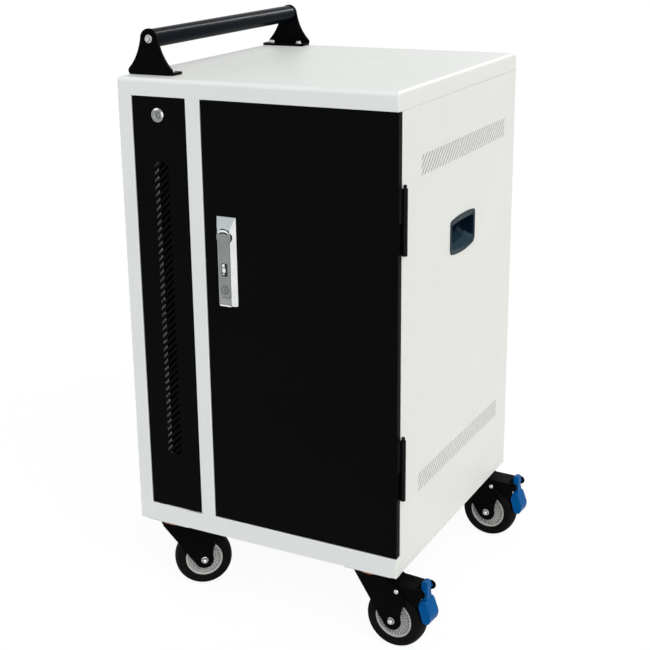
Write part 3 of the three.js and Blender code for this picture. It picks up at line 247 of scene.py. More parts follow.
def rubber(name, shade):
    """Black rubber with a dusty bloom."""
    material, tree, shader, where = new_finish(name)
    shader.inputs["Specular IOR Level"].default_value = 0.06
    tint(tree, noise(tree, where, 28, 5), shader, shade, 0.35)
    tree.links.new(spread(tree, noise(tree, where, 120), 0.62, 0.8), shader.inputs["Roughness"])
    relief(tree, shader, (noise(tree, where, 1400, 2), 0.00006))
    return material


def make_finishes():
    """Every finish of the cart, by the name of its slot, and those of the small fittings."""
    shade = colours()
    return {
        "white_paint": powder_coat("white_powder_coat", shade.white_paint, 0.35, 0.42, 0.000012, 0.012),
        "cut_edge": powder_coat("cut_edge", shade.cut_edge, 0.20, 0.50, 0.000012, 0.03),
        "black_paint": powder_coat("black_powder_coat", shade.black_paint, 0.025, 0.46, 0.000022, 0.10),
        "black_steel": powder_coat("semi_gloss_black", shade.black_steel, 0.09, 0.34, 0.000014, 0.10),
        "handle_black": powder_coat("handle_black", shade.handle_black, 0.020, 0.19, 0.000002, 0.08),
        "fork_black": powder_coat("fork_black", shade.fork_black, 0.016, 0.40, 0.00002, 0.10),
        "lever_grey": plated("brushed_lever", shade.lever_grey, 0.36, (1, 1, 0.05), 0.000010),
        "satin_silver": plated("satin_nickel", shade.satin_silver, 0.30, (1, 1, 0.06), 0.000006, 0.35),
        "roof_shaded_silver": plated("brushed_roof", shade.roof_shaded_silver, 0.34, (0.05, 1, 1), 0.000010),
        "button_grey": plated("button_grey", shade.button_grey, 0.36, (1, 1, 0.05), 0.000008),
        "key_grey": plated("key_ring", shade.key_grey, 0.36, (1, 1, 1), 0.000006),
        "zinc": plated("bright_zinc", shade.bright_zinc, 0.28, (1, 0.3, 1), 0.000008),
        "race_gold": plated("raceway_gold", shade.race_gold, 0.30, (1, 1, 8), 0.000006),
        "slate_plastic": moulded("slate_plastic", shade.slate_plastic, 0.065, 0.40, 0.00002, 1500),
        # Lit and shaded copies of the slate: painted light and painted shade in the cup handles.
        "slate_painted_light": moulded("slate_painted_light", shade.slate_painted_light, 0.08, 0.46, 0.00002, 1500),
        "slate_painted_shade": moulded("slate_painted_shade", shade.slate_painted_shade, 0.04, 0.46, 0.00002, 1500),
        "grey_plastic": moulded("hub_plastic", shade.hub_grey, 0.45, 0.45, 0.00003, 900),
        "dark_plastic": moulded("dark_plastic", shade.dark_plastic, 0.30, 0.52, 0.00003, 1200),
        "rubber": rubber("tyre_rubber", shade.rubber),
        "blue_plastic": moulded("brake_plastic", shade.brake_blue, 0.05, 0.38, 0.00002, 1100),
    }


FINISHES = {}


def finish_of(name):
    if not FINISHES:
        FINISHES.update(make_finishes())
    return FINISHES[name]


# Forms

def facing(place, direction):
    """A frame at a place whose Y axis points along a direction."""
    turn = Vector((0, 1, 0)).rotation_difference(Vector(direction))
    return Matrix.Translation(place) @ turn.to_matrix().to_4x4()


def turned(profile, steps=64, closed=False):
    """A form turned about the Y axis, from (radius, place along the axis) points in millimetres."""
    form = bmesh.new()
    points = [form.verts.new((radius * MM, along * MM, 0)) for radius, along in profile]
    edges = [form.edges.new(pair) for pair in zip(points, points[1:])]
    if closed:
        edges.append(form.edges.new((points[-1], points[0])))
    bmesh.ops.spin(
        form, geom=points + edges, cent=(0, 0, 0), axis=(0, 1, 0), angle=2 * math.pi, steps=steps, use_merge=True)
    bmesh.ops.remove_doubles(form, verts=form.verts, dist=1e-7)
    bmesh.ops.recalc_face_normals(form, faces=form.faces)
    return form


def drawn(outline, low, high):
    """A form drawn along Y between two places, from (x, z) points in millimetres."""
    form = bmesh.new()
    face = form.faces.new([form.verts.new((x * MM, low * MM, z * MM)) for x, z in outline])
    ring = bmesh.ops.extrude_face_region(form, geom=[face])["geom"]
    moved = [part for part in ring if isinstance(part, bmesh.types.BMVert)]
    bmesh.ops.translate(form, verts=moved, vec=(0, (high - low) * MM, 0))
    bmesh.ops.recalc_face_normals(form, faces=form.faces)
    return form


def arc(middle, radius, start, end, steps):
    """Points on an arc about a middle, with its angles in degrees."""
    angles = [math.radians(start + (end - start) * i / steps) for i in range(steps + 1)]
    return [(middle[0] + radius * math.cos(a), middle[1] + radius * math.sin(a)) for a in angles]


def gathered(*placed):
    """One form from several (form, frame) pairs."""
    whole = bmesh.new()
    for form, where in placed:
        form.transform(where)
        mesh = bpy.data.meshes.new("part_of_form")
        form.to_mesh(mesh)
        form.free()
        whole.from_mesh(mesh)
        bpy.data.meshes.remove(mesh)
    return whole


def stand(
        name, form, body, slot, *nodes, finish=None, others=(), rounding=0, segments=2, weighted=False, smooth=38):
    """Makes a piece of a form: it rides on a body, takes a slot's finish and stands for CAD nodes."""
    mesh = bpy.data.meshes.new(name)
    form.to_mesh(mesh)
    form.free()
    mesh.shade_smooth()
    mesh.set_sharp_from_angle(angle=math.radians(smooth))
    for coat in (finish or slot, *others):
        mesh.materials.append(finish_of(coat))
    piece = bpy.data.objects.new(name, mesh)
    bpy.context.scene.collection.objects.link(piece)
    if rounding:
        edge = piece.modifiers.new("edge_round", "BEVEL")
        edge.width = rounding
        edge.segments = segments
        edge.limit_method = "WEIGHT" if weighted else "ANGLE"
        edge.angle_limit = math.radians(smooth)
        edge.use_clamp_overlap = not weighted
        flats = piece.modifiers.new("flat_faces", "WEIGHTED_NORMAL")
        flats.mode = "FACE_AREA"
        flats.weight = 100
        flats.keep_sharp = True
    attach(piece, body)
    if nodes:
        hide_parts(*nodes)
    return piece


def copy_of(node):
    """A node's own shape as a form, with its triangles merged into flat faces."""
    form = bmesh.new()
    form.from_mesh(frame["nodes"][node].data)
    bmesh.ops.remove_doubles(form, verts=form.verts, dist=2e-6)
    bmesh.ops.dissolve_limit(form, angle_limit=math.radians(0.6), verts=form.verts, edges=form.edges)
    return form


def breadth(face):
    """Mean width of a face, which is the sheet's thickness on a strip or a ring of cut edges."""
    return 2 * face.calc_area() / sum(edge.calc_length() for edge in face.edges)


def weigh_edges(form, free_share, fold_share, least, sheet=3 * MM, bend=math.radians(40)):
    """Shares of the full round on long edges: one on the free edges of sheet, another on each fold."""
    weights = form.edges.layers.float.new("bevel_weight_edge")
    for edge in form.edges:
        if edge.is_manifold and edge.is_convex and edge.calc_length() > least and edge.calc_face_angle() > bend:
            thin = min(breadth(face) for face in edge.link_faces) < sheet
            edge[weights] = free_share if thin else fold_share(edge)


def dress(
        node, rounding, segments=2, free_share=None, fold_share=lambda edge: 1, least=0, finish=None, patches=(),
        smooth=38, shape=None):
    """Stands a rounded copy of a node in its place, with other finishes on the faces that a patch's test picks."""
    form = copy_of(node)
    if shape:
        shape(form)
    if free_share is not None:
        weigh_edges(form, free_share, fold_share, least)
    for index, (_, picks) in enumerate(patches, 1):
        for face in filter(picks, form.faces):
            face.material_index = index
    return stand(
        f"{node}_finished", form, BODY_OF[node], SLOT_OF[node], node, finish=finish,
        others=[coat for coat, _ in patches], rounding=rounding, segments=segments,
        weighted=free_share is not None, smooth=smooth)


# Cabinet

# Side vents in millimetres from the lower front corner of the cabinet, and the cut walls of their slanted slots.
VENT_FRONT, VENT_LENGTH, VENT_HEIGHT = 88, 375, 33
VENT_ROWS = (120, 658)
SLOT_WALLS = ("cut_edge", lambda face: min(abs(face.normal.y), abs(face.normal.z)) > 0.5)
# Painted shade: the upper edges of the side panels, which show in the seam under the top cover, take the dark key grey.
SEAM_PAINTED_SHADE = ("key_grey", lambda face: face.normal.z > 0.9 and face.calc_center_median().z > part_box("top_cover")[0].z - 6 * MM)


class CART_OT_cabinet(bpy.types.Operator):
    """Folded white sheets of the cabinet"""

    bl_idname = "cart.cabinet"
    bl_label = "Cabinet"

    def execute(self, context):
        folds = sizes().sheet_round
        for node in ("base_pan", "back_panel", "middle_shelf"):
            dress(node, folds, 3, free_share=0.4)
        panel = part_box("vent_panel")[1]
        # Painted shade: the frame's front faces that sit deeper than the narrow panel, left of its right edge, take
        # grey instead of white.
        dress("front_frame", folds, 3, free_share=0, patches=[
            ("grey_plastic", lambda face: face.normal.y < -0.9 and face.calc_center_median().y > panel.y
                and face.calc_center_median().x < panel.x)])
        dress("right_side_panel", folds, 3, free_share=0.4, least=VENT_HEIGHT * 2 * MM, patches=[SLOT_WALLS, SEAM_PAINTED_SHADE])
        self.power_bay(folds)
        self.cover(folds)
        self.welds()
        return {"FINISHED"}

    def cover(self, folds):
        """Top cover, round along its top edges and sharp at the seams under its skirts."""
        rounding = sizes().cover_round
        low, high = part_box("top_cover")
        roof = high.z - MM

        def square(form):
            """Draws the small rounds out to square edges, and lowers the inner roof clear of the larger round."""
            for point in form.verts:
                place = point.co
                rim = min(place.x - low.x, high.x - place.x, place.y - low.y, high.y - place.y) < 1.2 * MM
                if place.z > high.z - 1.2 * MM or rim and place.z > high.z - 4 * MM:
                    middle = (low + high) / 2
                    point.co = (
                        low.x if place.x < middle.x else high.x, low.y if place.y < middle.y else high.y, high.z)
                elif place.z > high.z - 4 * MM:
                    point.co.z = high.z - 3 * MM
            bmesh.ops.remove_doubles(form, verts=form.verts, dist=1e-6)

        def share(edge):
            first, second = [end.co for end in edge.verts]
            ends = [end.z > roof for end in (first, second)]
            if all(ends):
                return 1 if abs(first.x - second.x) > abs(first.y - second.y) else 0.7
            return 1.6 * folds / rounding if any(ends) else 0

        dress("top_cover", rounding, 6, free_share=0, fold_share=share, smooth=50, shape=square)

    def power_bay(self, folds):
        """Left side panel and partition wall, black on the faces that look into the power bay, and black sheets as
        painted shade behind the left vents.
        """
        inward = ("black_paint", lambda face: face.normal.x > 0.9)
        dress("left_side_panel", folds, 3, free_share=0.4, least=VENT_HEIGHT * 2 * MM, patches=[inward, SLOT_WALLS, SEAM_PAINTED_SHADE])
        dress("partition_wall", folds, 3, free_share=0.4, patches=[("black_paint", lambda face: face.normal.x < -0.9)])
        near, far = -VENT_FRONT + 4, -VENT_FRONT - VENT_LENGTH - 4
        seat = facing(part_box("front_frame")[0] + Vector((1.6 * MM, 0, 0)), (1, 0, 0))
        # Painted shade: black sheets just inside the left side panel, behind each row of vents, darken the slots.
        shade_sheets = []
        for low in VENT_ROWS:
            top = low + VENT_HEIGHT + 4
            shade_sheets.append((drawn([(far, low - 4), (near, low - 4), (near, top), (far, top)], 0, 0.5), seat))
        stand("vent_shade_sheets", gathered(*shade_sheets), "cabinet", "black_paint")

    def welds(self):
        """Seams under the top cover, welded and sanded flush with the stile and the mullion."""
        low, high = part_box("front_frame")
        panel_low, panel_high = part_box("vent_panel")
        reveal = 1.6 * MM
        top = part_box("top_cover")[0].z
        seams = []
        for left, right in ((low.x, panel_low.x - reveal), (panel_high.x + reveal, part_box("door_panel")[0].x - reveal)):
            width, gap = (right - left) / MM, (top - high.z) / MM
            form = drawn([(0, 0), (width, 0), (width, gap), (0, gap)], 0, 1)
            seams.append((form, Matrix.Translation((left, low.y, high.z))))
        stand("front_welds", gathered(*seams), "cabinet", "white_paint")


# Door and narrow panel

class CART_OT_front(bpy.types.Operator):
    """Black pans of the door and of the narrow vented panel"""

    bl_idname = "cart.front"
    bl_label = "Door and narrow panel"

    def execute(self, context):
        dress("door_panel", sizes().sheet_round, 3, free_share=0.4)
        dress("vent_panel", sizes().sheet_round, 3, free_share=0)
        return {"FINISHED"}


# Fasteners

def hex_head(across, height):
    """Chamfered hexagon head with a slight dome."""
    return turned(
        [(0, 0), (across, 0), (across, 0.72 * height), (0.84 * across, height), (0.5 * across, 1.08 * height),
         (0, 1.1 * height)], 6)


def washer(radius, thick):
    return turned([(0, 0), (radius, 0), (radius, 0.7 * thick), (0.94 * radius, thick), (0, thick)], 40)


def round_head(radius, height):
    """Domed head of a rivet or pin."""
    dome = [(radius * math.cos(a), height * math.sin(a)) for a in (math.pi / 2 * i / 7 for i in range(8))]
    return turned([(0, 0), *dome[:-1], (0, height)], 32)


def bolt(place, direction, radius=5.2):
    """Hexagon head on its washer, as (form, frame) pairs."""
    seat = facing(place, direction)
    lift = seat @ Matrix.Translation((0, 1.0 * MM, 0))
    return [(washer(1.3 * radius, 1.0), seat), (hex_head(radius, 0.72 * radius), lift)]


# Push handle

class CART_OT_push_handle(bpy.types.Operator):
    """Tube, brackets and bright bolts of the push handle"""

    bl_idname = "cart.push_handle"
    bl_label = "Push handle"

    def execute(self, context):
        low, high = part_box("handle_tube")
        axis = (low + high) / 2
        radius = (high.z - low.z) / 2 / MM
        length = (high.y - low.y) / MM
        chamfer = 1.0
        profile = [
            (0, 0), (radius - chamfer, 0), (radius, chamfer), (radius, length - chamfer),
            (radius - chamfer, length), (0, length)]
        tube = gathered((turned(profile, 72), facing((axis.x, low.y, axis.z), (0, 1, 0))))
        stand("handle_tube_finished", tube, "cabinet", "black_steel", "handle_tube", finish="handle_black")
        bolts = []
        for node, outward in (("handle_bracket_front", -1), ("handle_bracket_rear", 1)):
            dress(node, sizes().bracket_round, 2, finish="fork_black")
            low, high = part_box(node)
            outside = low.y if outward < 0 else high.y
            bolts += bolt((axis.x, outside, axis.z), (0, outward, 0))
            foot_y = outside - outward * 18.5 * MM
            for side in (-1, 1):
                bolts += bolt((axis.x + side * 29 * MM, foot_y, low.z + 4 * MM), (0, 0, 1), 4.8)
        stand("handle_bolts", gathered(*bolts), "cabinet", "zinc")
        return {"FINISHED"}


# Hinges

class CART_OT_hinges(bpy.types.Operator):
    """Leaves, knuckles and pins of the two lift-off hinges"""

    bl_idname = "cart.hinges"
    bl_label = "Hinges"

    def execute(self, context):
        for level in ("lower", "upper"):
            for leaf in ("frame", "door"):
                dress(f"hinge_{leaf}_leaf_{level}", 0.8 * MM, 2)
            low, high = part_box(f"hinge_pin_{level}")
            axis = (low + high) / 2
            radius = (high.x - low.x) / 2 / MM
            length = (high.z - low.z) / MM
            shank, head = 0.75 * radius, length - 6
            profile = [
                (0, 0), (shank - 0.5, 0), (shank, 0.5), (shank, head), (radius, head), (radius, length - 1.4),
                (0.86 * radius, length - 0.6), (0.5 * radius, length - 0.1), (0, length)]
            pin = gathered((turned(profile, 32), facing((axis.x, axis.y, low.z), (0, 0, 1))))
            node = f"hinge_pin_{level}"
            stand(f"{node}_finished", pin, BODY_OF[node], "black_steel", node)
        return {"FINISHED"}


# Swing-handle lock

class CART_OT_swing_lock(bpy.types.Operator):
    """Satin lock on the door: base, head, lever, key cylinder, button and tongue"""

    bl_idname = "cart.swing_lock"
    bl_label = "Swing-handle lock"

    def execute(self, context):
        castings = sizes().casting_round
        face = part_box("lock_lever")[0].y
        # Painted shade: the roof faces and the pocket floor take the darker roof copy of the plated metal.
        dress("lock_base", castings, 3, patches=[
            ("roof_shaded_silver", lambda side: side.normal.z > 0.2 and side.normal.y < -0.2),
            ("roof_shaded_silver", lambda side: side.normal.y < -0.9 and side.calc_center_median().y > face + 3 * MM),
            ("lever_grey", lambda side: side.normal.y < -0.9 and side.calc_center_median().y < face + MM)])
        dress("lock_spindle", castings, 2)
        # Painted shade: the lever takes lever_grey, the darker copy of the plated metal.
        dress("lock_lever", castings, 3, finish="lever_grey")
        dress("lock_button", 0.3 * MM, 2, finish="button_grey")
        dress("lock_cylinder", 0.3 * MM, 2, finish="lever_grey")
        dress("lock_tongue", 0.4 * MM, 2)
        low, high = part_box("lock_cylinder")
        key = Vector(((low.x + high.x) / 2, face, (low.z + high.z) / 2))
        self.window(key.x, face)
        self.head(key.x, face)
        rim = turned([(5.4, 0), (7.0, 0), (7.0, 0.25), (6.6, 0.5), (5.8, 0.5), (5.4, 0.2)], 48, closed=True)
        stand("key_rim", gathered((rim, facing(key, (0, -1, 0)))), "lock_lever_body", "satin_silver", finish="key_grey")
        return {"FINISHED"}

    def head(self, x, face):
        """Bright crescent on the lever's head, a black line under it as painted shade, a black band as painted shadow
        in the gap round the head, and the lip at the lock's foot.
        """
        pivot, bow_middle = (0, -10.5), (0, -20)
        seat = Matrix.Translation((x, face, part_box("lock_lever")[1].z))
        lean = 24
        cap = arc(pivot, 12.6, lean, 180 - lean, 20) + arc(bow_middle, 18.6, 90 + 38, 90 - 38, 20)
        stand("head_cap", gathered((drawn(cap, -0.3, 0.1), seat)), "lock_lever_body", "satin_silver")
        # Painted shade: a black line on the lever under the bright crescent.
        line = arc(bow_middle, 18.6, 63, 117, 16) + arc(bow_middle, 16.2, 117, 63, 16)
        stand("head_line_painted_shade", gathered((drawn(line, -0.2, 0.1), seat)), "lock_lever_body", "satin_silver", finish="fork_black")
        # Painted shadow: a black band on the pocket floor in the gap round the head.
        gap = arc(pivot, 14.4, -60, 205, 40) + arc(pivot, 11.5, 205, -60, 40)
        stand("head_gap_painted_shadow", gathered((drawn(gap, 5.7, 6), seat)), BODY_OF["lock_base"], "satin_silver", finish="fork_black")
        foot = Matrix.Translation((x, face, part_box("lock_base")[0].z))
        for name, low, high, coat in (("foot_lip", 0.6, 3.2, "satin_silver"), ("foot_line", 3.2, 4.2, "key_grey")):
            form = drawn([(-10.8, low), (10.8, low), (10.8, high), (-10.8, high)], -0.1, 0.3)
            stand(name, gathered((form, foot)), BODY_OF["lock_base"], "satin_silver", finish=coat)

    def window(self, x, face):
        """Dark plate and bright catch behind the lever's window."""
        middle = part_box("lock_lever")[0].z + 46 * MM
        seat = Matrix.Translation((x, face, middle))
        plate = drawn([(-5.2, -10.6), (5.2, -10.6), (5.2, 10.6), (-5.2, 10.6)], 1.9, 2.4)
        stand("lever_window", gathered((plate, seat)), "lock_lever_body", "dark_plastic")
        catches = []
        for low, high, left, right in ((-9.2, -6.8, -4.4, -1.2), (-4.8, 2.4, -5.0, 1.2), (3.8, 9.4, -4.8, -0.4)):
            form = drawn([(left, low), (right, low), (right, high), (left, high)], 0.9, 1.8)
            catches.append((form, seat))
        stand("lever_catch", gathered(*catches), "lock_lever_body", "satin_silver", rounding=0.3 * MM)


# Cam lock

# Painted highlights: bright spots on the lock's rim, in degrees from the right, that stand in for glints.
CAM_PAINTED_GLINTS = (12, 98)


class CART_OT_cam_lock(bpy.types.Operator):
    """Round cam lock of the narrow panel"""

    bl_idname = "cart.cam_lock"
    bl_label = "Cam lock"

    def execute(self, context):
        low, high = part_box("panel_lock_body")
        middle = (low + high) / 2
        face = (high.x - low.x) / 2 / MM
        depth = (high.y - low.y) / MM
        bore = 5.8
        barrel = 0.75 * face
        ring = [
            (bore, 0), (barrel, 0), (barrel, depth - 2.4), (face, depth - 2.4), (face, depth - 1.2),
            (face - 0.5, depth - 0.4), (face - 1.6, depth), (face - 3.2, depth), (bore + 1.4, depth),
            (bore + 0.5, depth - 0.35), (bore, depth - 1)]
        body = gathered((turned(ring, 56, closed=True), facing((middle.x, high.y, middle.z), (0, -1, 0))))
        for side in body.faces:
            spoke = side.calc_center_median() - middle
            turn = math.degrees(math.atan2(spoke.z, spoke.x))
            # Painted highlight: outward faces of the rim near these angles take the bright satin finish.
            painted_glint = math.hypot(spoke.x, spoke.z) > (face - 3.2) * MM and any(abs(turn - spot) < 22 for spot in CAM_PAINTED_GLINTS)
            side.material_index = 2 if painted_glint and side.normal.y < -0.3 else int(side.normal.y < -0.97)
        stand(
            "panel_lock_body_finished", body, BODY_OF["panel_lock_body"], "satin_silver", "panel_lock_body",
            finish="button_grey", others=["lever_grey", "satin_silver"])
        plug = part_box("panel_lock_plug")[0].y
        # Painted shade: the walls of the plug's keyway take black.
        dress("panel_lock_plug", 0.25 * MM, 2, finish="lever_grey", patches=[
            ("fork_black", lambda side: plug + 0.4 * MM < side.calc_center_median().y < plug + 6 * MM
                and abs(side.normal.x) + abs(side.normal.y) > 0.9)])
        dress("panel_lock_tongue", 0.4 * MM, 2)
        return {"FINISHED"}


# Cup handles

def bow(start, control, end, steps):
    """Points of a quadratic curve after its start."""
    points = []
    for i in range(1, steps + 1):
        t = i / steps
        points.append(tuple(
            (1 - t) ** 2 * a + 2 * t * (1 - t) * b + t * t * c for a, b, c in zip(start, control, end)))
    return points


def cup_outline(half, low, high, corner, bulge, arch):
    """Rim of a cup handle in millimetres: an arched top, a fuller bottom and round corners."""
    right = [(half - corner, low - bulge / 3)]
    right += bow(right[-1], (half, low - bulge / 4), (half, low + corner), 8)
    right.append((half, high - corner))
    right += bow(right[-1], (half, high), (half - corner, high), 8)
    top = bow(right[-1], (0, high + arch), (-half + corner, high), 14)
    left = bow(top[-1], (-half, high), (-half, high - corner), 8)
    left.append((-half, low + corner))
    left += bow(left[-1], (-half, low - bulge / 4), (-half + corner, low - bulge / 3), 8)
    return right + top + left + bow(left[-1], (0, low - bulge), right[0], 14)[:-1]


def skinned(rings):
    """A closed form over rings of points that match one by one, with its ends filled."""
    form = bmesh.new()
    loops = [[form.verts.new(point) for point in ring] for ring in rings]
    for near, far in zip(loops, loops[1:]):
        for i in range(len(near)):
            form.faces.new((near[i - 1], near[i], far[i], far[i - 1]))
    form.faces.new(loops[0])
    form.faces.new(loops[-1])
    bmesh.ops.recalc_face_normals(form, faces=form.faces)
    return form


# From the floor of the scoop to its lip: (inset at the ends, at the foot and at the top, place along Y).
CUP_SCOOP = (
    (16, 26, 11, -30.3), (12, 22, 8.6, -29.6), (8.6, 18, 7.6, -27.2), (6.4, 13.4, 7.1, -23), (4.8, 8.8, 6.8, -16),
    (3.5, 4.8, 6.6, -7), (2.8, 2.9, 6.4, -0.4))
# Painted light and shade up the ramp of the scoop, from its floor to its lip: base, painted light or painted shade.
CUP_PAINTED_SHADING = (2, 2, 0, 0, 1, 1)
# From the lip over the rim to the outside of the floor: (inset, place along Y).
CUP_RIM = (
    (2.4, 0.5), (1.5, 1.2), (0.4, 1.4), (-1.8, 1.4), (-2.6, 1.15), (-3.0, 0.6), (-3.0, 0.0), (0.9, 0.0),
    (0.9, -30.0), (2.2, -32.3), (20, -32.3))


class CART_OT_cup_handles(bpy.types.Operator):
    """Moulded cup handles, sunk through the side panels with a rim on the sheet"""

    bl_idname = "cart.cup_handles"
    bl_label = "Cup handles"

    def execute(self, context):
        half, height, corner, bulge, arch, rim, proud = 53, 50, 9, 12, 6, 3, 1.4
        for side, outward in (("left", -1), ("right", 1)):
            node = f"{side}_cup_handle"
            low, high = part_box(node)
            sheet = high.x - proud * MM if outward > 0 else low.x + proud * MM
            foot = low.z + (rim + 0.63 * bulge) * MM
            section = [(*ring, arch / 3) for ring in CUP_SCOOP]
            section += [(inset, inset, inset, along, arch) for inset, along in CUP_RIM]
            rings = [
                [(x * MM, along * MM, z * MM) for x, z in cup_outline(
                    half - ends, under, height - over, corner, bulge, rise)]
                for ends, under, over, along, rise in section]
            place = facing((sheet, (low.y + high.y) / 2, foot), (outward, 0, 0))
            form = skinned(rings)
            form.faces.ensure_lookup_table()
            # Painted light and shade: up-facing faces of the ramp take the base, lit or shaded copy by depth; all other
            # faces of the scoop take the shaded copy.
            for i, face in enumerate(form.faces[:(len(CUP_SCOOP) - 1) * len(rings[0])]):
                face.material_index = CUP_PAINTED_SHADING[i // len(rings[0])] if face.normal.z > 0.3 else 2
            # Painted shade on the floor of the scoop.
            form.faces[-2].material_index = 2
            stand(
                f"{node}_finished", gathered((form, place)), BODY_OF[node], SLOT_OF[node], node,
                others=("slate_painted_light", "slate_painted_shade"), smooth=50)
        return {"FINISHED"}


# Casters

WHEEL_R = 52.5
WHEEL_HALF = 17.5
LEG_OUTER = 22.7
TRAIL = 44
RACE_LOW = 130.2


def caster_frame(corner):
    """Where a caster stands: X along its trail, Y along its axle and Z up from the floor."""
    swivel = Vector(JOINTS[f"swivel_{corner}"]["pos_m"])
    axle = Vector(JOINTS[f"roll_{corner}"]["pos_m"])
    trail = Vector((axle.x - swivel.x, axle.y - swivel.y, 0)).normalized()
    upward = Vector((0, 0, 1))
    place = Matrix((trail, upward.cross(trail), upward)).transposed().to_4x4()
    place.translation = (swivel.x, swivel.y, axle.z - WHEEL_R * MM)
    return place


def tyre_form():
    """Tyre with a rounded tread and a step at the bead."""
    tread = [i / 12 for i in range(-12, 13)]
    crown = [(WHEEL_R - 5 * abs(t) ** 2.7, WHEEL_HALF * t) for t in tread]
    bead = [(44, 17.7), (39.5, 17.4), (38.6, 16.8), (36, 16.7), (34.4, 15.9)]
    return turned([*reversed([(r, -y) for r, y in bead]), *crown, *bead], 96, closed=True)


def hub_forms():
    """Moulded hub: a rim, a dished web, a boss, and ribs on both sides, as (form, frame) pairs."""
    side = [
        (4.4, 17.5), (10, 17.5), (11, 16.9), (11.6, 15.1), (14, 11.4), (27.5, 9.4), (29.0, 9.8), (29.8, 11.0),
        (30.2, 14.9), (31, 15.5), (33.4, 15.5), (34, 14.9)]
    placed = [(turned([*reversed([(r, -y) for r, y in side]), *side], 72, closed=True), Matrix())]
    ribs = 32
    for i in range(ribs):
        form = drawn([(10, -0.5), (30.2, -0.8), (30.2, 0.8), (10, 0.5)], -13.6, 13.6)
        placed.append((form, Matrix.Rotation(2 * math.pi * i / ribs, 4, "Y")))
    return placed


def axle_forms():
    """Axle with a nut and a domed end on each side, as (form, frame) pairs."""
    placed = [(turned([(0, -26), (3.9, -26), (3.9, 26), (0, 26)], 24), Matrix())]
    for side in (-1, 1):
        seat = facing((0, side * (LEG_OUTER + 0.3) * MM, 0), (0, side, 0))
        raised = seat @ Matrix.Translation((0, 4.6 * MM, 0))
        placed += [(washer(6.3, 0.8), seat), (hex_head(5.8, 4.6), seat), (round_head(3.9, 2.4), raised)]
    return placed


class CART_OT_casters(bpy.types.Operator):
    """Swivel casters: plates, raceways, forks, wheels, axles and brake pedals"""

    bl_idname = "cart.casters"
    bl_label = "Casters"

    def execute(self, context):
        races = []
        for corner in CORNERS:
            place = caster_frame(corner)
            wheel = place @ Matrix.Translation((TRAIL * MM, 0, WHEEL_R * MM))
            dress(f"caster_plate_{corner}", 0.5 * MM, 2)
            dress(f"caster_fork_{corner}", sizes().bracket_round, 3, finish="fork_black")
            tyre, hub, axle = f"tyre_{corner}", f"wheel_hub_{corner}", f"caster_axle_{corner}"
            stand(f"{tyre}_finished", gathered((tyre_form(), wheel)), BODY_OF[tyre], "rubber", tyre)
            hub_parts = gathered(*[(form, wheel @ turn) for form, turn in hub_forms()])
            stand(f"{hub}_finished", hub_parts, BODY_OF[hub], "grey_plastic", hub, rounding=0.3 * MM)
            axle_parts = gathered(*[(form, wheel @ seat) for form, seat in axle_forms()])
            stand(f"{axle}_finished", axle_parts, BODY_OF[axle], "zinc", axle)
            ring = turned([(27, 1.3), (29.6, 1.5), (30.4, 2.9), (29.6, 4.4), (27, 4.6)], 56, closed=True)
            races.append((ring, place @ facing((0, 0, RACE_LOW * MM), (0, 0, 1))))
            if corner in BRAKED:
                self.brake(corner, place)
        stand("caster_races", gathered(*races), "cabinet", "zinc", finish="race_gold")
        return {"FINISHED"}

    def brake(self, corner, place):
        """Rounded pedal and the rivets of the brake arm."""
        dress(f"brake_pedal_{corner}", 1.4 * MM, 3)
        rivets, caps = [], []
        for side in (-1, 1):
            seat = facing((53 * MM, side * LEG_OUTER * MM, 109.5 * MM), (0, side, 0))
            rivets.append((round_head(4.2, 2.0), place @ seat))
            cheek = facing((97 * MM, side * 20.6 * MM, 116.5 * MM), (0, side, 0))
            caps.append((round_head(4.6, 1.4), place @ cheek))
        body = BODY_OF[f"caster_fork_{corner}"]
        fold = drawn([(84.2, 107.5), (85.8, 107.5), (85.8, 120.3), (84.2, 120.3)], -18, 18)
        stand(f"brake_web_fold_{corner}", gathered((fold, place)), body, "black_steel", finish="fork_black")
        stand(f"brake_rivets_{corner}", gathered(*rivets), body, "zinc")
        stand(f"brake_pin_caps_{corner}", gathered(*caps), body, "black_steel", finish="fork_black")


# Inside

class CART_OT_inside(bpy.types.Operator):
    """Divider racks, socket strips, charge controller, mains inlet and power switch"""

    bl_idname = "cart.inside"
    bl_label = "Inside"

    def execute(self, context):
        mouldings = sizes().moulding_round
        for node in ("lower_divider_rack", "upper_divider_rack", "charge_controller"):
            dress(node, mouldings, 2)
        for node in ("socket_strip_lower", "socket_strip_upper", "mains_inlet", "power_switch"):
            dress(node, 0.5 * mouldings, 2)
        return {"FINISHED"}


# Stage

def seen_rays(tree):
    """One on the rays that see the surround: straight from the camera, in gloss and through glass."""
    rays = tree.nodes.new("ShaderNodeLightPath")
    value = rays.outputs["Is Camera Ray"]
    for name in ("Is Glossy Ray", "Is Transmission Ray"):
        most = tree.nodes.new("ShaderNodeMath")
        most.operation = "MAXIMUM"
        tree.links.new(value, most.inputs[0])
        tree.links.new(rays.outputs[name], most.inputs[1])
        value = most.outputs["Value"]
    return value


def mixed(tree, share, first, second, output):
    mix = tree.nodes.new("ShaderNodeMixShader")
    tree.links.new(share, mix.inputs["Fac"])
    tree.links.new(first, mix.inputs[1])
    tree.links.new(second, mix.inputs[2])
    tree.links.new(mix.outputs["Shader"], output.inputs["Surface"])


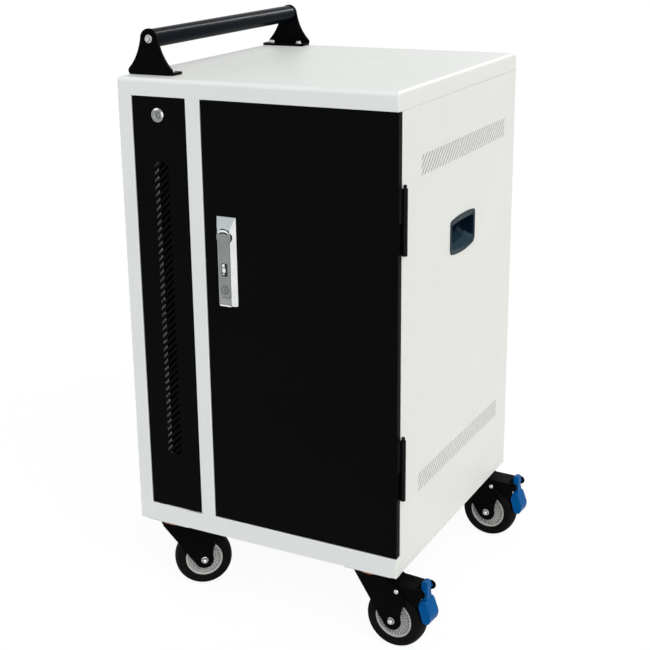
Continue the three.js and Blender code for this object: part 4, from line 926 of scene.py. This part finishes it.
def floor_finish():
    """Pale floor that keeps the shadow and shows white to the camera."""
    material = bpy.data.materials.new("pale_floor")
    material.use_nodes = True
    tree = material.node_tree
    tree.nodes.clear()
    output = tree.nodes.new("ShaderNodeOutputMaterial")
    matt, shadowed = [tree.nodes.new("ShaderNodeBsdfDiffuse") for _ in range(2)]
    matt.inputs["Color"].default_value = [*colours().floor, 1]
    shadowed.inputs["Color"].default_value = (0.1, 0.1, 0.1, 1)
    glow = tree.nodes.new("ShaderNodeEmission")
    glow.inputs["Strength"].default_value = 0.92
    white = tree.nodes.new("ShaderNodeAddShader")
    tree.links.new(shadowed.outputs["BSDF"], white.inputs[0])
    tree.links.new(glow.outputs["Emission"], white.inputs[1])
    mixed(tree, seen_rays(tree), matt.outputs["BSDF"], white.outputs["Shader"], output)
    return material


class CART_OT_stage(bpy.types.Operator):
    """Pale floor, soft sun, bright surround and the camera"""

    bl_idname = "cart.stage"
    bl_label = "Stage"

    def execute(self, context):
        self.floor(context.scene)
        self.sun(context.scene)
        self.strip(context.scene)
        self.surround(context.scene)
        self.camera(context.scene)
        context.scene.view_settings.view_transform = "Standard"
        return {"FINISHED"}

    def floor(self, scene):
        form = bmesh.new()
        bmesh.ops.create_grid(form, x_segments=1, y_segments=1, size=60)
        mesh = bpy.data.meshes.new("floor")
        form.to_mesh(mesh)
        form.free()
        mesh.materials.append(floor_finish())
        floor = bpy.data.objects.new("floor", mesh)
        floor.location.z = CAD_BOUNDS[0].z - 0.0004
        scene.collection.objects.link(floor)

    def sun(self, scene):
        light = bpy.data.lights.new("sun", "SUN")
        light.energy = 2.2
        light.color = (1.0, 0.99, 0.975)
        light.angle = math.radians(60)
        sun = bpy.data.objects.new("sun", light)
        sun.rotation_euler = Vector((0.462, -0.385, 0.36)).to_track_quat("Z", "Y").to_euler()
        scene.collection.objects.link(sun)

    def strip(self, scene):
        """Long soft strip behind the cart that shows only in gloss, as a streak along the push handle."""
        light = bpy.data.lights.new("strip", "AREA")
        light.shape = "RECTANGLE"
        light.size, light.size_y = 0.2, 1.6
        light.energy = 26
        strip = bpy.data.objects.new("strip", light)
        low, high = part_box("handle_tube")
        towards = Vector((0.205, 0.833, 0.514))
        strip.matrix_world = towards.to_track_quat("Z", "Y").to_matrix().to_4x4()
        strip.location = (low + high) / 2 + 2 * towards
        strip.visible_diffuse = False
        strip.visible_camera = False
        scene.collection.objects.link(strip)

    def surround(self, scene):
        world = bpy.data.worlds.new("surround")
        world.use_nodes = True
        tree = world.node_tree
        tree.nodes.clear()
        output = tree.nodes.new("ShaderNodeOutputWorld")
        light = tree.nodes.new("ShaderNodeBackground")
        light.inputs["Strength"].default_value = 0.55
        self.sky(tree, light)
        white = tree.nodes.new("ShaderNodeBackground")
        white.inputs["Color"].default_value = (1, 1, 1, 1)
        mixed(tree, seen_rays(tree), light.outputs["Background"], white.outputs["Background"], output)
        scene.world = world

    def sky(self, tree, light):
        """Cool light from the front and warm light from the right."""
        towards = tree.nodes.new("ShaderNodeVectorMath")
        towards.operation = "DOT_PRODUCT"
        towards.inputs[1].default_value = (0.5, 0.5, 0)
        tree.links.new(tree.nodes.new("ShaderNodeTexCoord").outputs["Generated"], towards.inputs[0])
        share = tree.nodes.new("ShaderNodeMath")
        share.inputs[1].default_value = 0.5
        tree.links.new(towards.outputs["Value"], share.inputs[0])
        ramp = tree.nodes.new("ShaderNodeValToRGB")
        ramp.color_ramp.elements[0].color = (0.88, 0.985, 1.06, 1)
        ramp.color_ramp.elements[1].color = (1.0, 1.0, 0.85, 1)
        tree.links.new(share.outputs["Value"], ramp.inputs["Fac"])
        tree.links.new(ramp.outputs["Color"], light.inputs["Color"])

    def camera(self, scene):
        view = scene.cart_view
        turn, rise, roll = view.azimuth, view.elevation, view.roll
        back = Vector((math.sin(turn) * math.cos(rise), -math.cos(turn) * math.cos(rise), math.sin(rise)))
        right = (-back).cross(Vector((0, 0, 1))).normalized()
        upward = right.cross(-back)
        across = math.cos(roll) * right + math.sin(roll) * upward
        along = math.cos(roll) * upward - math.sin(roll) * right
        lens = bpy.data.cameras.new("photo_view")
        lens.sensor_width = 36
        lens.lens = view.lens
        lens.shift_x, lens.shift_y = view.shift
        camera = bpy.data.objects.new("photo_view", lens)
        camera.matrix_world = Matrix((across, along, back)).transposed().to_4x4()
        camera.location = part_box("front_frame")[0] + Vector(view.place)
        scene.collection.objects.link(camera)
        scene.camera = camera


# Panel and registration

PIECES = (
    CART_OT_cabinet, CART_OT_front, CART_OT_push_handle, CART_OT_hinges, CART_OT_swing_lock, CART_OT_cam_lock,
    CART_OT_cup_handles, CART_OT_casters, CART_OT_inside, CART_OT_stage)


class CART_PT_panel(bpy.types.Panel):
    """Sidebar panel with one button for each group of pieces"""

    bl_idname = "CART_PT_panel"
    bl_label = "Charging Cart"
    bl_space_type = "VIEW_3D"
    bl_region_type = "UI"
    bl_category = "Cart"

    def draw(self, context):
        for group in (context.scene.cart_colours, context.scene.cart_sizes, context.scene.cart_view):
            column = self.layout.column(align=True)
            for name in group.__annotations__:
                column.prop(group, name)
        column = self.layout.column(align=True)
        for piece in PIECES:
            column.operator(piece.bl_idname)


GROUPS = {"cart_colours": CartColours, "cart_sizes": CartSizes, "cart_view": CartView}


def register():
    for kind in (*GROUPS.values(), *PIECES, CART_PT_panel):
        bpy.utils.register_class(kind)
    for name, kind in GROUPS.items():
        setattr(bpy.types.Scene, name, bpy.props.PointerProperty(type=kind))


def unregister():
    for name in GROUPS:
        delattr(bpy.types.Scene, name)
    for kind in reversed((*GROUPS.values(), *PIECES, CART_PT_panel)):
        bpy.utils.unregister_class(kind)


def main():
    register()
    for piece in PIECES:
        group, name = piece.bl_idname.split(".")
        getattr(getattr(bpy.ops, group), name)()


if __name__ == "__main__":
    main()
